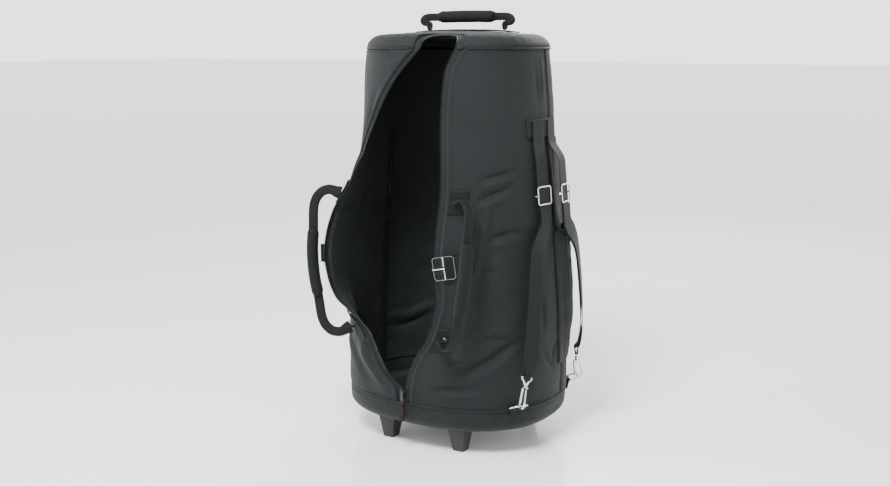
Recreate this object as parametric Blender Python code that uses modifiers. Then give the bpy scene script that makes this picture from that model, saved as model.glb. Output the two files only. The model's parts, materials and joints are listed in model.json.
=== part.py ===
"""Padded bag for a conga drum, standing on two feet and two wheels with its front zip open.

Metres. The zip faces -Y, the backpack straps are on the +X side, Z is up, the floor is Z = 0.
The left side of the bag is folded back, so the mouth is wide open at half height.
"""
import math

import bmesh
import bpy
from mathutils import Matrix, Vector

# General
GAP = 0.0003  # clearance between pieces that touch
SEAT = 0.0006  # of a sewn piece above the curved cloth
FLARE_SEAT = 0.0018  # of one that bridges the folded side's bends
AXIS_X = -0.0064  # the bag's upright axis from the centre of all that the bag covers
AXIS_Y = 0.0232

# Body
BASE_HEIGHT = 0.050  # underside of the boot above the floor
BOOT_HEIGHT = 0.047
SIDE_HEIGHT = 0.691  # boot seam to rim seam
BOOT_TOP = BASE_HEIGHT + BOOT_HEIGHT
RIM = BOOT_TOP + SIDE_HEIGHT
CROWN_HEIGHT = 0.034
CROWN_SQUARENESS = 2.6
CORNER_RADIUS = 0.022  # rounding between the boot's wall and its underside
WALL = 0.009
SEAM_ANGLE = 99.0  # of the two upright seams, from the front
CORD_RADIUS = 0.0021  # piping in the seams
BOARD_THICKNESS = 0.006
BOARD_CLEARANCE = 0.003

# Plan of the body: (share of the height from boot underside to rim, half width, half depth,
# squareness of the outline)
PLAN_SIZES = (
    (0.00, 0.2215, 0.184, 2.40),
    (0.12, 0.2260, 0.188, 2.40),
    (0.24, 0.2240, 0.191, 2.35),
    (0.35, 0.2190, 0.192, 2.30),
    (0.46, 0.2130, 0.191, 2.25),
    (0.57, 0.2060, 0.189, 2.20),
    (0.73, 0.1950, 0.183, 2.20),
    (0.88, 0.1885, 0.177, 2.20),
    (1.00, 0.1820, 0.171, 2.20),
)

# Mouth of the open zip: (share of the side's height, x where the edge lies on the closed plan,
# pull to the front, pull to the side)
ZIP_CENTRE = -0.0125
ZIP_CLOSED = 0.00015  # half the slit between the closed zip's teeth
LEFT_EDGE = (
    (0.0000, ZIP_CENTRE - ZIP_CLOSED, 0.000, 0.000),
    (0.0140, ZIP_CENTRE - ZIP_CLOSED, 0.000, 0.000),
    (0.0215, ZIP_CENTRE - 0.0007, 0.000, 0.000),
    (0.0380, ZIP_CENTRE - 0.0011, 0.000, 0.000),
    (0.0550, -0.0250, 0.000, 0.000),
    (0.0832, -0.0500, 0.000, 0.000),
    (0.1375, -0.0760, 0.000, 0.000),
    (0.1820, -0.0940, 0.000, 0.000),
    (0.2142, -0.1160, 0.006, 0.002),
    (0.2431, -0.1370, 0.020, 0.009),
    (0.2865, -0.1500, 0.045, 0.022),
    (0.3589, -0.1520, 0.064, 0.030),
    (0.4240, -0.1500, 0.070, 0.035),
    (0.4674, -0.1490, 0.0685, 0.034),
    (0.5398, -0.1460, 0.055, 0.030),
    (0.6122, -0.1400, 0.029, 0.014),
    (0.6628, -0.1340, 0.015, 0.010),
    (0.7149, -0.1240, 0.004, 0.002),
    (0.8177, -0.0840, 0.000, 0.000),
    (0.8915, -0.0500, 0.000, 0.000),
    (0.9450, -0.0180, 0.000, 0.000),
    (1.0000, 0.0200, 0.000, 0.000),
)
RIGHT_EDGE = (
    (0.0000, ZIP_CENTRE + ZIP_CLOSED, 0.000, 0.000),
    (0.0140, ZIP_CENTRE + ZIP_CLOSED, 0.000, 0.000),
    (0.0215, ZIP_CENTRE + 0.0007, 0.000, 0.000),
    (0.0380, ZIP_CENTRE + 0.0011, 0.000, 0.000),
    (0.1201, 0.0060, 0.000, 0.000),
    (0.2069, 0.0420, 0.000, 0.000),
    (0.3227, 0.0620, 0.000, 0.000),
    (0.4385, 0.0570, 0.000, 0.000),
    (0.6266, 0.0660, 0.000, 0.000),
    (0.8148, 0.0620, 0.000, 0.000),
    (0.9305, 0.0660, 0.000, 0.000),
    (1.0000, 0.0840, 0.000, 0.000),
)
NOTCH_CLEARANCE = 0.001  # between the cloth of the top and the zip's tapes
NOTCH_DEPTH = 0.012  # from the rim back to the centre of the mouth's round end

# Zip
MOUTH_END_SLIT = 0.02  # half the angle left open between the tapes at the end of the mouth
TAPE_WIDTH = 0.0115
TAPE_GAP = 0.0009  # between a tape and the edge of the cloth that it is sewn to
ZIP_DEPTH = 0.0024  # of the tapes' middle below the outside of the cloth
TAPE_THICKNESS = 0.0012
COIL_RADIUS = 0.0014
SLIDER_WIDTH = 0.0120
SLIDER_LENGTH = 0.0125
SLIDER_PLATE = 0.0011
SLIDER_CLEARANCE = 0.0014  # of its plates from the teeth
SLIDER_HEIGHT = BOOT_TOP + 0.0215  # middle of the slider above the floor
STOP_WIDTH = 0.0075
STOP_HEIGHT = 0.0028
STOP_THICKNESS = 0.0012
TAB_WIDTH = 0.0075
TAB_LENGTH = 0.026
TAB_THICKNESS = 0.0014
PULL_WIDTH = 0.011
PULL_LENGTH = 0.036

# Webbing and grips
WEBBING = 0.038
WEBBING_THICKNESS = 0.0022
FOLDED_WEBBING = 0.018
FOLDED_THICKNESS = 0.0042
GRIP_RADIUS = 0.0118
ANCHOR_LENGTH = 0.045
ANCHOR_THICKNESS = 0.0026
END_RADIUS = FOLDED_WEBBING / 2  # round end of a handle's webbing, about its bend line
END_CLEARANCE = 0.0006  # of that end over its sewn patch

# Top handle: (distance past the sewn end, height above the bend line) of its webbing
TOP_HANDLE_Y = 0.033
TOP_HANDLE_SPAN = 0.176
TOP_HANDLE_LEG = (
    (0.0000, 0.0000),
    (0.0030, 0.0045),
    (0.0120, 0.0070),
    (0.0150, 0.0115),
    (0.0060, 0.0170),
)
TOP_GRIP_LENGTH = 0.128
TOP_GRIP_BOW = 0.0010
TOP_GRIP_RISE = 0.0178

# Carry handles
CARRY_LOW = BOOT_TOP + 0.139  # heights of the sewn ends
CARRY_HIGH = BOOT_TOP + 0.406
CARRY_EDGE_DISTANCE = 0.038  # of the sewn ends from the mouth's edge
CARRY_LEG = (
    (0.000, 0.000),
    (0.003, 0.008),
    (0.009, 0.023),
    (0.003, 0.042),
    (-0.020, 0.056),
)
CARRY_GRIP_LENGTH = 0.137
CARRY_GRIP_BOW = 0.006
CARRY_GRIP_RISE = 0.061
LEFT_CARRY_DIRECTION = 211.0  # degrees from +X, the way the handle stands out
RIGHT_CARRY_DIRECTION = -34.0

# Closing strap
CLOSURE_HEIGHT = BOOT_TOP + 0.281
CLOSURE_RISE = 0.012  # of its far end above the buckle
CLOSURE_NEAR = 24.0  # degrees from the front
CLOSURE_FAR = 44.0
CLOSURE_FOLD = 0.036  # length of the end that is folded back through the buckle
BUCKLE_LENGTH = 0.042
BUCKLE_HEIGHT = 0.0435
BUCKLE_WIRE = 0.0019
BUCKLE_STANDOFF = 0.0088
PRONG_WIRE = 0.0015
PRONG_SLOT = 0.0046
TONGUE_START = 0.100  # of the left strap, from the mouth's edge along the cloth
TONGUE_END = 0.050
TONGUE_FREE = 0.021  # how far its free end stands out

# Backpack straps
BAND_LOW = BOOT_TOP + 0.523
BAND_HEIGHT = 0.034
BAND_HALF_ANGLE = 17.0
BAND_THICKNESS = 0.0024
STRAP_WIDTH = 0.038
STRAP_THICKNESS = 0.0018
STRAP_TOP_ANGLE = 8.0  # of the straps' tops from the middle of the side
STRAP_HOOK_ANGLE = 26.3
STRAP_RING_ANGLE = 29.5
SLIDE_HEIGHT = BOOT_TOP + 0.411
SLIDE_LENGTH = 0.034
SLIDE_WIRE = 0.0018
SLIDE_SIDE_CLEARANCE = 0.0012
SLIDE_TRAVEL = 0.025
STRAIGHT_LOW = BOOT_TOP + 0.353  # the strap is straight between these heights
STRAIGHT_HIGH = BOOT_TOP + 0.473
STRAP_STANDOFF = {"front": 0.0085, "rear": 0.024}
STRAP_BOW = {"front": 0.014, "rear": 0.036}
RETURN_DISTANCE = 0.0032  # between the middles of the strap's two layers
# Course of the strap below its straight part: (height, angle from the middle of the side,
# share of the bow)
STRAP_COURSE = (
    (BOOT_TOP + 0.303, 18.0, 0.80),
    (BOOT_TOP + 0.213, 20.4, 1.00),
    (BOOT_TOP + 0.133, 23.0, 0.80),
    (BOOT_TOP + 0.093, 24.6, 0.25),
)
YOKE_HEIGHT = BOOT_TOP + 0.069
YOKE_STANDOFF = 0.020
YOKE_WIDTH = 0.022
YOKE_LENGTH = 0.013
YOKE_WIRE = 0.0017
STRAP_END_WIDTH = 0.0155  # of the strap where it is gathered in the yoke
COLLAR_RADIUS = 0.0042
COLLAR_LENGTH = 0.005
STEM_RADIUS = 0.0017
STEM_HEAD_RADIUS = 0.0030
HOOK_WIRE = 0.0023
HOOK_HALF_WIDTH = 0.0072
HOOK_CLEARANCE = 0.0009  # between a hook's bend and the ring in it
GATE_WIRE = 0.0015
RING_WIRE = 0.0018
RING_HALF_WIDTH = 0.019
RING_REACH = 0.024
RING_LIFT = 24.0  # degrees above level
RING_HEIGHT = BOOT_TOP + 0.007
RING_STANDOFF = 0.0068
RING_TAB_WIDTH = 0.026
RING_TAB_THICKNESS = 0.0016
RING_TAB_LENGTH = 0.018

# Stow flap and pocket for the straps
STOW_NEAR_ANGLE = 94.0
STOW_FAR_ANGLE = 128.0
STOW_FLAP_LOW = BOOT_TOP + 0.343
STOW_FLAP_HIGH = BOOT_TOP + 0.5145
STOW_FLAP_THICKNESS = 0.0025
STOW_POCKET_LOW = BOOT_TOP + 0.068
STOW_POCKET_HIGH = BOOT_TOP + 0.335
STOW_POCKET_BULGE = 0.0125
STOW_POCKET_THICKNESS = 0.0025

# Feet and wheels
FOOT_X = 0.083
FOOT_Y = -0.127
FOOT_TOP = 0.045
FOOT_BOTTOM = 0.034
FOOT_EDGE = 0.003
FOOT_RECESS_RADIUS = 0.007
FOOT_RECESS_DEPTH = 0.68 * BASE_HEIGHT
WHEEL_X = 0.112
WHEEL_Y = 0.106
WHEEL_RADIUS = 0.44 * BASE_HEIGHT
WHEEL_WIDTH = 0.020
TYRE_THICKNESS = 0.0055
AXLE_RADIUS = 0.003
AXLE_CLEARANCE = 0.0003
AXLE_END = 0.001  # past the outer cheeks
CHEEK_THICKNESS = 0.004
CHEEK_RADIUS = 0.0105
WHEEL_SIDE_CLEARANCE = 0.0010
HOUSING_LENGTH = 0.058
HOUSING_PLATE = 0.0035

GROOVE = CORD_RADIUS + GAP  # half the slot that a seam's piping lies in
ZIP_REACH = TAPE_WIDTH + 2 * COIL_RADIUS + GAP  # sewn edge of the cloth to the zip's free edge
SECTION_STEPS = 60
RING_STEPS = 40
SIDE_COLUMNS = 9
BACK_COLUMNS = 14

NYLON = ("black_nylon", (0.035, 0.040, 0.042), 0.72, 0.0)
WEBBING_CLOTH = ("webbing", (0.022, 0.024, 0.026), 0.80, 0.0)
CHROME = ("chrome", (0.80, 0.80, 0.80), 0.12, 1.0)
ZIP_PLASTIC = ("zip_plastic", (0.015, 0.015, 0.015), 0.45, 0.0)
FOOT_PLASTIC = ("foot_plastic", (0.030, 0.032, 0.034), 0.50, 0.0)
BOARD_PLASTIC = ("board_plastic", (0.020, 0.020, 0.021), 0.60, 0.0)
RUBBER = ("rubber", (0.020, 0.020, 0.020), 0.85, 0.0)
STEEL = ("steel", (0.55, 0.55, 0.56), 0.35, 1.0)
PULL_CLOTH = ("pull_cloth", (0.060, 0.035, 0.035), 0.80, 0.0)


def clear_scene():
    for thing in list(bpy.data.objects):
        bpy.data.objects.remove(thing, do_unlink=True)


clear_scene()
PARTS = bpy.data.collections.new("conga_bag")
CUTTERS = bpy.data.collections.new("cutters")
bpy.context.scene.collection.children.link(PARTS)
bpy.context.scene.collection.children.link(CUTTERS)
BAG_AXIS = bpy.data.objects.new("bag_axis", None)
BAG_AXIS.location = (AXIS_X, AXIS_Y, 0)
PARTS.objects.link(BAG_AXIS)


# General helpers
def material(look):
    """The named material, made on its first use."""
    name, colour, roughness, metallic = look
    made = bpy.data.materials.get(name)
    if made is None:
        made = bpy.data.materials.new(name)
        made.use_nodes = True
        shader = made.node_tree.nodes["Principled BSDF"]
        shader.inputs["Base Color"].default_value = (*colour, 1.0)
        shader.inputs["Roughness"].default_value = roughness
        shader.inputs["Metallic"].default_value = metallic
    return made


def finish(name, mesh, look, pivot=(0, 0, 0), smooth=40.0):
    """An object from a mesh in the bag's coordinates, with its origin at the pivot."""
    pivot = Vector(pivot)
    mesh.transform(Matrix.Translation(-pivot))
    thing = bpy.data.objects.new(name, mesh)
    mesh.name = name
    mesh.materials.clear()
    mesh.materials.append(material(look))
    mesh.shade_smooth()
    mesh.set_sharp_from_angle(angle=math.radians(smooth))
    PARTS.objects.link(thing)
    thing.parent = BAG_AXIS
    thing.location = pivot
    return thing


def as_cutter(thing):
    """Moves an object out of the parts, to be used in a cut."""
    PARTS.objects.unlink(thing)
    CUTTERS.objects.link(thing)
    thing.hide_render = True
    thing.display_type = "WIRE"
    return thing


def solidify(thing, thickness, offset=-1.0):
    shell = thing.modifiers.new("thickness", "SOLIDIFY")
    shell.thickness = thickness
    shell.offset = offset


def combine(thing, other, operation):
    cut = thing.modifiers.new(operation.lower(), "BOOLEAN")
    cut.operation = operation
    cut.object = as_cutter(other)
    cut.solver = "EXACT"


def grid_mesh(name, rows, closed=False):
    """An open surface through rows of points. Its front is row direction by column direction."""
    mesh = bpy.data.meshes.new(name)
    shape = bmesh.new()
    made = [[shape.verts.new(point) for point in row] for row in rows]
    count = len(rows[0])
    for low, high in zip(made, made[1:]):
        for i in range(count if closed else count - 1):
            j = (i + 1) % count
            shape.faces.new((low[i], low[j], high[j], high[i]))
    shape.to_mesh(mesh)
    shape.free()
    return mesh


def mesh_of(curve_object):
    """The closed mesh of a bevelled curve, in place of the curve."""
    bpy.context.view_layer.update()
    evaluated = curve_object.evaluated_get(bpy.context.evaluated_depsgraph_get())
    mesh = bpy.data.meshes.new_from_object(evaluated)
    shape = bmesh.new()
    shape.from_mesh(mesh)
    bmesh.ops.remove_doubles(shape, verts=shape.verts, dist=0.00001)
    shape.to_mesh(mesh)
    shape.free()
    bpy.data.objects.remove(curve_object, do_unlink=True)
    return mesh


def tube_mesh(points, radius, closed=False, resolution=1):
    """A round bar along points. Its section has 4 + 4 * resolution sides."""
    curve = bpy.data.curves.new("tube", "CURVE")
    curve.dimensions = "3D"
    curve.bevel_depth = radius
    curve.bevel_resolution = resolution
    curve.use_fill_caps = True
    line = curve.splines.new("POLY")
    line.points.add(len(points) - 1)
    for slot, point in zip(line.points, points):
        slot.co = (*point, 1.0)
    line.use_cyclic_u = closed
    thing = bpy.data.objects.new("tube", curve)
    PARTS.objects.link(thing)
    return mesh_of(thing)


def tube(name, points, radius, look, pivot=(0, 0, 0), closed=False, resolution=1):
    return finish(name, tube_mesh(points, radius, closed, resolution), look, pivot)


def ribbon_mesh(points, across, widths):
    """A strip along points, with its width along the directions in across."""
    rows = []
    for point, side, width in zip(points, across, widths):
        half = Vector(side).normalized() * width / 2
        rows.append([Vector(point) - half, Vector(point) + half])
    return grid_mesh("ribbon", rows)


def ribbon(name, points, across, widths, thickness, look, pivot=(0, 0, 0)):
    """A strip of webbing of even thickness."""
    if not isinstance(widths, (list, tuple)):
        widths = [widths] * len(points)
    if isinstance(across, Vector):
        across = [across] * len(points)
    thing = finish(name, ribbon_mesh(points, across, widths), look, pivot)
    solidify(thing, thickness, 0.0)
    return thing


def box_mesh(size, centre, turn=None):
    shape = bmesh.new()
    bmesh.ops.create_cube(shape, size=1.0)
    mesh = bpy.data.meshes.new("box")
    shape.to_mesh(mesh)
    shape.free()
    mesh.transform(Matrix.Diagonal((*size, 1.0)))
    if turn is not None:
        mesh.transform(turn)
    mesh.transform(Matrix.Translation(centre))
    return mesh


def rod_mesh(radius, length, centre, direction, sides=16):
    """A round rod centred on a point, along a direction."""
    shape = bmesh.new()
    bmesh.ops.create_cone(
        shape, cap_ends=True, segments=sides, radius1=radius, radius2=radius, depth=length
    )
    mesh = bpy.data.meshes.new("rod")
    shape.to_mesh(mesh)
    shape.free()
    mesh.transform(Vector(direction).to_track_quat("Z", "Y").to_matrix().to_4x4())
    mesh.transform(Matrix.Translation(centre))
    return mesh


def plate_mesh(outline, thickness, holes=()):
    """A flat plate from an outline in X and Y, centred on Z = 0."""
    curve = bpy.data.curves.new("plate", "CURVE")
    curve.dimensions = "2D"
    curve.fill_mode = "BOTH"
    curve.extrude = thickness / 2
    for loop in (outline, *holes):
        line = curve.splines.new("POLY")
        line.points.add(len(loop) - 1)
        for slot, point in zip(line.points, loop):
            slot.co = (point[0], point[1], 0.0, 1.0)
        line.use_cyclic_u = True
    thing = bpy.data.objects.new("plate", curve)
    PARTS.objects.link(thing)
    return mesh_of(thing)


def round_edges(thing, width, segments=2):
    edge = thing.modifiers.new("rounding", "BEVEL")
    edge.width = width
    edge.segments = segments
    edge.limit_method = "ANGLE"
    edge.angle_limit = math.radians(40)


def blend_points(points, steps):
    """A smooth curve through points, with steps pieces between two of them."""
    ends = [points[0] * 2 - points[1], *points, points[-1] * 2 - points[-2]]
    smooth = [points[0].copy()]
    for a, b, c, d in zip(ends, ends[1:], ends[2:], ends[3:]):
        for i in range(1, steps + 1):
            t = i / steps
            smooth.append(
                0.5 * (2 * b + (c - a) * t + (2 * a - 5 * b + 4 * c - d) * t * t
                       + (3 * b - a - 3 * c + d) * t ** 3)
            )
    return smooth


def table_value(table, share):
    """The table's columns at a share of the height, joined by a smooth monotone curve."""
    share = min(max(share, table[0][0]), table[-1][0])
    i = 0
    while i < len(table) - 2 and share > table[i + 1][0]:
        i += 1
    low, high = table[i], table[i + 1]
    step = high[0] - low[0]
    t = (share - low[0]) / step
    before = table[i - 1] if i > 0 else low
    after = table[i + 2] if i + 2 < len(table) else high
    values = []
    for k in range(1, len(low)):
        slope = (high[k] - low[k]) / step
        slope_in = slope if before is low else (low[k] - before[k]) / (low[0] - before[0])
        slope_out = slope if after is high else (after[k] - high[k]) / (after[0] - high[0])
        tangent_in = 0.0 if slope_in * slope <= 0 else 2 * slope_in * slope / (slope_in + slope)
        tangent_out = 0.0 if slope_out * slope <= 0 else 2 * slope_out * slope / (slope_out + slope)
        values.append(
            low[k] * (2 * t ** 3 - 3 * t * t + 1) + high[k] * (3 * t * t - 2 * t ** 3)
            + step * (tangent_in * (t ** 3 - 2 * t * t + t) + tangent_out * (t ** 3 - t * t))
        )
    return values


# Body surface
def plan_size(height):
    return table_value(PLAN_SIZES, (height - BASE_HEIGHT) / (RIM - BASE_HEIGHT))


def plan_point(angle, size, inset=0.0):
    """A point of the body's outline. The angle is in degrees from the front, positive to +X."""
    half_width, half_depth, squareness = size
    turn = math.radians(angle)
    sine, cosine = math.sin(turn), math.cos(turn)
    x = (half_width - inset) * math.copysign(abs(sine) ** (2 / squareness), sine)
    y = -(half_depth - inset) * math.copysign(abs(cosine) ** (2 / squareness), cosine)
    return Vector((x, y))


def plan_direction(direction, size):
    """The outline's parameter angle whose point lies in a true direction from the axis."""
    half_width, half_depth, squareness = size
    turn = math.radians(direction)
    x, y = math.sin(turn), math.cos(turn)
    reach = (abs(x / half_width) ** squareness + abs(y / half_depth) ** squareness)
    reach = reach ** (-1 / squareness)
    sine = math.copysign(abs(x * reach / half_width) ** (squareness / 2), x)
    cosine = math.copysign(abs(y * reach / half_depth) ** (squareness / 2), y)
    return math.degrees(math.atan2(sine, cosine))


def wall(direction, height, standoff=0.0):
    """A point on the body in a direction from its axis, the standoff outside it."""
    size = plan_size(height)
    here = plan_point(plan_direction(direction, size), size)
    near = plan_point(plan_direction(direction + 0.5, size), size)
    along = (near - here).normalized()
    outward = Vector((along.y, -along.x))
    place = here + outward * standoff
    return Vector((place.x, place.y, height))


def wall_frame(direction, height, standoff=0.0):
    """The point, outward and sideways directions on the body."""
    point = wall(direction, height, standoff)
    outward = (wall(direction, height, standoff + 0.01) - point).normalized()
    sideways = Vector((0, 0, 1)).cross(outward)
    return point, outward, sideways


def zip_edge(side, height):
    table = RIGHT_EDGE if side > 0 else LEFT_EDGE
    return table_value(table, (height - BOOT_TOP) / SIDE_HEIGHT)


def side_section(side, height):
    """The outer line of a side from its upright seam to the free edge of the zip."""
    size = plan_size(height)
    edge_x, forward, aside = zip_edge(side, height)
    end = math.degrees(
        math.asin(math.copysign(min(1.0, abs(edge_x) / size[0]) ** (size[2] / 2), edge_x))
    )
    start = plan_direction(side * SEAM_ANGLE, size)
    points = []
    for i in range(SECTION_STEPS + 1):
        angle = start + (end - start) * i / SECTION_STEPS
        point = plan_point(angle, size)
        opened = max(0.0, (90 - abs(angle)) / (90 - abs(end))) ** 2
        point += Vector((side * aside, -forward)) * opened
        points.append(Vector((point.x, point.y, height)))
    return points


def lengths_along(points):
    total = [0.0]
    for a, b in zip(points, points[1:]):
        total.append(total[-1] + (b - a).length)
    return total


def point_at(points, totals, distance):
    """The point at a distance along a line, and the line's direction there."""
    i = 0
    while i < len(points) - 2 and totals[i + 1] < distance:
        i += 1
    step = points[i + 1] - points[i]
    t = (distance - totals[i]) / (totals[i + 1] - totals[i])
    return points[i] + step * t, step.normalized()


def on_side(side, height, from_edge, standoff=0.0):
    """A point of a side at a distance from the zip's free edge, and the directions there."""
    points = side_section(side, height)
    totals = lengths_along(points)
    place, to_edge = point_at(points, totals, totals[-1] - from_edge)
    outward = Vector((to_edge.y, -to_edge.x, 0)) * -side
    return place + outward * standoff, outward, to_edge


def heights(low, high, count):
    return [low + (high - low) * i / (count - 1) for i in range(count)]


def row_heights():
    """Heights of a side's rows: those of the edge's table, kept clear of both seams."""
    low, high = BOOT_TOP + GROOVE, RIM - GROOVE
    rows = [BOOT_TOP + SIDE_HEIGHT * row[0] for row in LEFT_EDGE]
    return [low, *[h for h in rows if low + GROOVE < h < high - GROOVE], high]


def side_rows(side):
    rows = []
    for height in row_heights():
        points = side_section(side, height)
        totals = lengths_along(points)
        span = totals[-1] - ZIP_REACH - GROOVE
        row = [
            point_at(points, totals, GROOVE + span * i / SIDE_COLUMNS)[0]
            for i in range(SIDE_COLUMNS + 1)
        ]
        rows.append(row if side < 0 else row[::-1])
    return rows


def panel_edge(side):
    """Each row's last point before the zip, with its normal and the way to the zip."""
    rows = side_rows(side)
    mesh = grid_mesh("edge", rows)
    last, neighbour = (SIDE_COLUMNS, SIDE_COLUMNS - 1) if side < 0 else (0, 1)
    edge = []
    for i, row in enumerate(rows):
        normal = mesh.vertices[i * (SIDE_COLUMNS + 1) + last].normal.copy()
        onward = row[last] - row[neighbour]
        onward = (onward - normal * onward.dot(normal)).normalized()
        edge.append((row[last], normal, onward))
    bpy.data.meshes.remove(mesh)
    return edge


def back_rows():
    rows = []
    for height in heights(BOOT_TOP + GROOVE, RIM - GROOVE, 9):
        size = plan_size(height)
        start = plan_direction(SEAM_ANGLE, size)
        line = []
        for i in range(SECTION_STEPS + 1):
            angle = start + (360 - 2 * start) * i / SECTION_STEPS
            point = plan_point(angle, size)
            line.append(Vector((point.x, point.y, height)))
        totals = lengths_along(line)
        span = totals[-1] - 2 * GROOVE
        rows.append([
            point_at(line, totals, GROOVE + span * i / BACK_COLUMNS)[0]
            for i in range(BACK_COLUMNS + 1)
        ])
    return rows


def make_panels():
    for name, rows in (("left", side_rows(-1)), ("right", side_rows(1)), ("back", back_rows())):
        mesh = grid_mesh(f"{name}_panel", rows)
        solidify(finish(f"{name}_panel", mesh, NYLON), WALL)


def ring(size, height, inset=0.0, scale=1.0, count=RING_STEPS):
    points = []
    for i in range(count):
        point = plan_point(360 * i / count, size, inset) * scale
        points.append(Vector((point.x, point.y, height)))
    return points


def cap_ring(mesh_rows, name):
    """A closed surface of rings whose last ring is filled with a fan."""
    mesh = grid_mesh(name, mesh_rows, closed=True)
    shape = bmesh.new()
    shape.from_mesh(mesh)
    shape.verts.ensure_lookup_table()
    count = len(mesh_rows[-1])
    last = [shape.verts[len(shape.verts) - count + i] for i in range(count)]
    centre = shape.verts.new(sum((v.co for v in last), Vector()) / count)
    for i in range(count):
        shape.faces.new((last[i], last[(i + 1) % count], centre))
    shape.to_mesh(mesh)
    shape.free()
    return mesh


def crown_height(x, y, inset=0.0):
    """Height of the top's surface over a point, or of a surface that much inside it."""
    half_width, half_depth, squareness = plan_size(RIM)
    share = abs(x / (half_width - inset)) ** squareness
    share += abs(y / (half_depth - inset)) ** squareness
    share = min(1.0, share ** (1 / squareness))
    rise = (1 - share ** CROWN_SQUARENESS) ** (1 / CROWN_SQUARENESS)
    return RIM + (CROWN_HEIGHT - inset) * rise


def mouth_centre():
    """Centre and radius of the round end of the mouth, where the cloth of the top is cut."""
    left = zip_edge(-1, RIM)[0]
    right = zip_edge(1, RIM)[0]
    size = plan_size(RIM)
    x = (left + right) / 2
    front = size[1] * (1 - abs(x / size[0]) ** size[2]) ** (1 / size[2])
    return Vector((x, NOTCH_DEPTH - front)), (right - left) / 2 + ZIP_REACH


def make_top_panel():
    size = plan_size(RIM)
    start = math.asin((2 * GROOVE / CROWN_HEIGHT) ** (CROWN_SQUARENESS / 2))
    turns = [start + (math.pi / 2 - 0.12 - start) * (i / 6) ** 1.5 for i in range(7)]
    rows = [ring(size, RIM + GROOVE, scale=math.cos(start) ** (2 / CROWN_SQUARENESS))]
    for turn in turns:
        scale = math.cos(turn) ** (2 / CROWN_SQUARENESS)
        rise = CROWN_HEIGHT * math.sin(turn) ** (2 / CROWN_SQUARENESS)
        rows.append(ring(size, RIM + rise, scale=scale))
    top = finish("top_panel", cap_ring(rows, "top_panel"), NYLON)
    solidify(top, WALL)
    centre, radius = mouth_centre()
    radius += NOTCH_CLEARANCE
    outline = [
        (centre.x + radius * math.cos(math.pi * i / 16), centre.y + radius * math.sin(math.pi * i / 16))
        for i in range(17)
    ]
    outline += [(centre.x - radius, centre.y - size[1]), (centre.x + radius, centre.y - size[1])]
    notch = plate_mesh(outline, 4 * CROWN_HEIGHT)
    notch.transform(Matrix.Translation((0, 0, RIM)))
    combine(top, finish("mouth_cut", notch, NYLON), "DIFFERENCE")


def make_boot():
    top = BOOT_TOP - GROOVE
    rows = [ring(plan_size(BASE_HEIGHT), BASE_HEIGHT, CORNER_RADIUS, scale) for scale in (0.45, 0.97)]
    for i in range(5):
        turn = math.pi / 2 * i / 4
        height = BASE_HEIGHT + CORNER_RADIUS * (1 - math.cos(turn))
        rows.append(ring(plan_size(height), height, CORNER_RADIUS * (1 - math.sin(turn))))
    rows.append(ring(plan_size(top), top))
    mesh = cap_ring([list(reversed(row)) for row in reversed(rows)], "boot")
    solidify(finish("boot", mesh, NYLON), WALL)


def make_base_board():
    size = plan_size(BASE_HEIGHT + WALL)
    inset = CORNER_RADIUS + BOARD_CLEARANCE
    outline = [plan_point(360 * i / RING_STEPS, size, inset) for i in range(RING_STEPS)]
    mesh = plate_mesh(outline, BOARD_THICKNESS)
    mesh.transform(Matrix.Translation((0, 0, BASE_HEIGHT + WALL + GAP + BOARD_THICKNESS / 2)))
    finish("base_board", mesh, BOARD_PLASTIC)


def seam_inset(height):
    size = plan_size(height)
    return size, CORD_RADIUS * 0.4


def make_piping():
    size, inset = seam_inset(BOOT_TOP)
    piping = tube(
        "seam_piping", ring(size, BOOT_TOP, inset), CORD_RADIUS, NYLON, closed=True, resolution=0
    )
    for side, name in ((-1, "left"), (1, "right")):
        rows = [BOOT_TOP, *heights(BOOT_TOP + GROOVE, RIM - GROOVE, 10)]
        path = [wall(side * SEAM_ANGLE, height, -CORD_RADIUS) for height in rows]
        path[0] = wall(side * SEAM_ANGLE, BOOT_TOP, -inset)
        cord = tube(f"{name}_side_cord", path, CORD_RADIUS, NYLON, resolution=0)
        combine(piping, cord, "UNION")
    size, inset = seam_inset(RIM)
    line = [plan_point(360 * i / 180, size, inset) for i in range(181)]
    centre, radius = mouth_centre()
    clear = radius + NOTCH_CLEARANCE + CORD_RADIUS
    open_run = [i for i, p in enumerate(line) if p.y < 0 and abs(p.x - centre.x) < clear]
    first = max(i for i in open_run if i < 90) + 1
    last = min([i for i in open_run if i > 90] + [181]) - 1
    path = [Vector((p.x, p.y, RIM)) for p in line[first:last + 1]]
    tube("rim_piping", path[::4] + [path[-1]], CORD_RADIUS, NYLON, resolution=0)


# Zip
def tape_lines(side):
    """Sewn line and free line of a zip tape, from the boot over the rim to the mouth's end."""
    sewn, free = [], []
    for point, normal, onward in panel_edge(side):
        start = point - normal * ZIP_DEPTH + onward * TAPE_GAP
        sewn.append(start)
        free.append(start + onward * (TAPE_WIDTH - TAPE_GAP))
    centre, radius = mouth_centre()
    size = plan_size(RIM)
    for line, distance in ((sewn, radius - TAPE_GAP), (free, radius - TAPE_WIDTH)):
        x = centre.x + side * distance
        front = (size[1] - ZIP_DEPTH) * (1 - abs(x / size[0]) ** size[2]) ** (1 / size[2])
        spots = [Vector((x, (centre.y + front) * share - front)) for share in (0.3, 0.65)]
        for i in range(9):
            turn = (math.pi / 2 - MOUTH_END_SLIT) * i / 8
            reach = Vector((side * math.cos(turn), math.sin(turn)))
            spots.append(centre + reach * distance)
        for spot in spots:
            line.append(Vector((spot.x, spot.y, crown_height(spot.x, spot.y, ZIP_DEPTH))))
    return sewn, free


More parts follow.
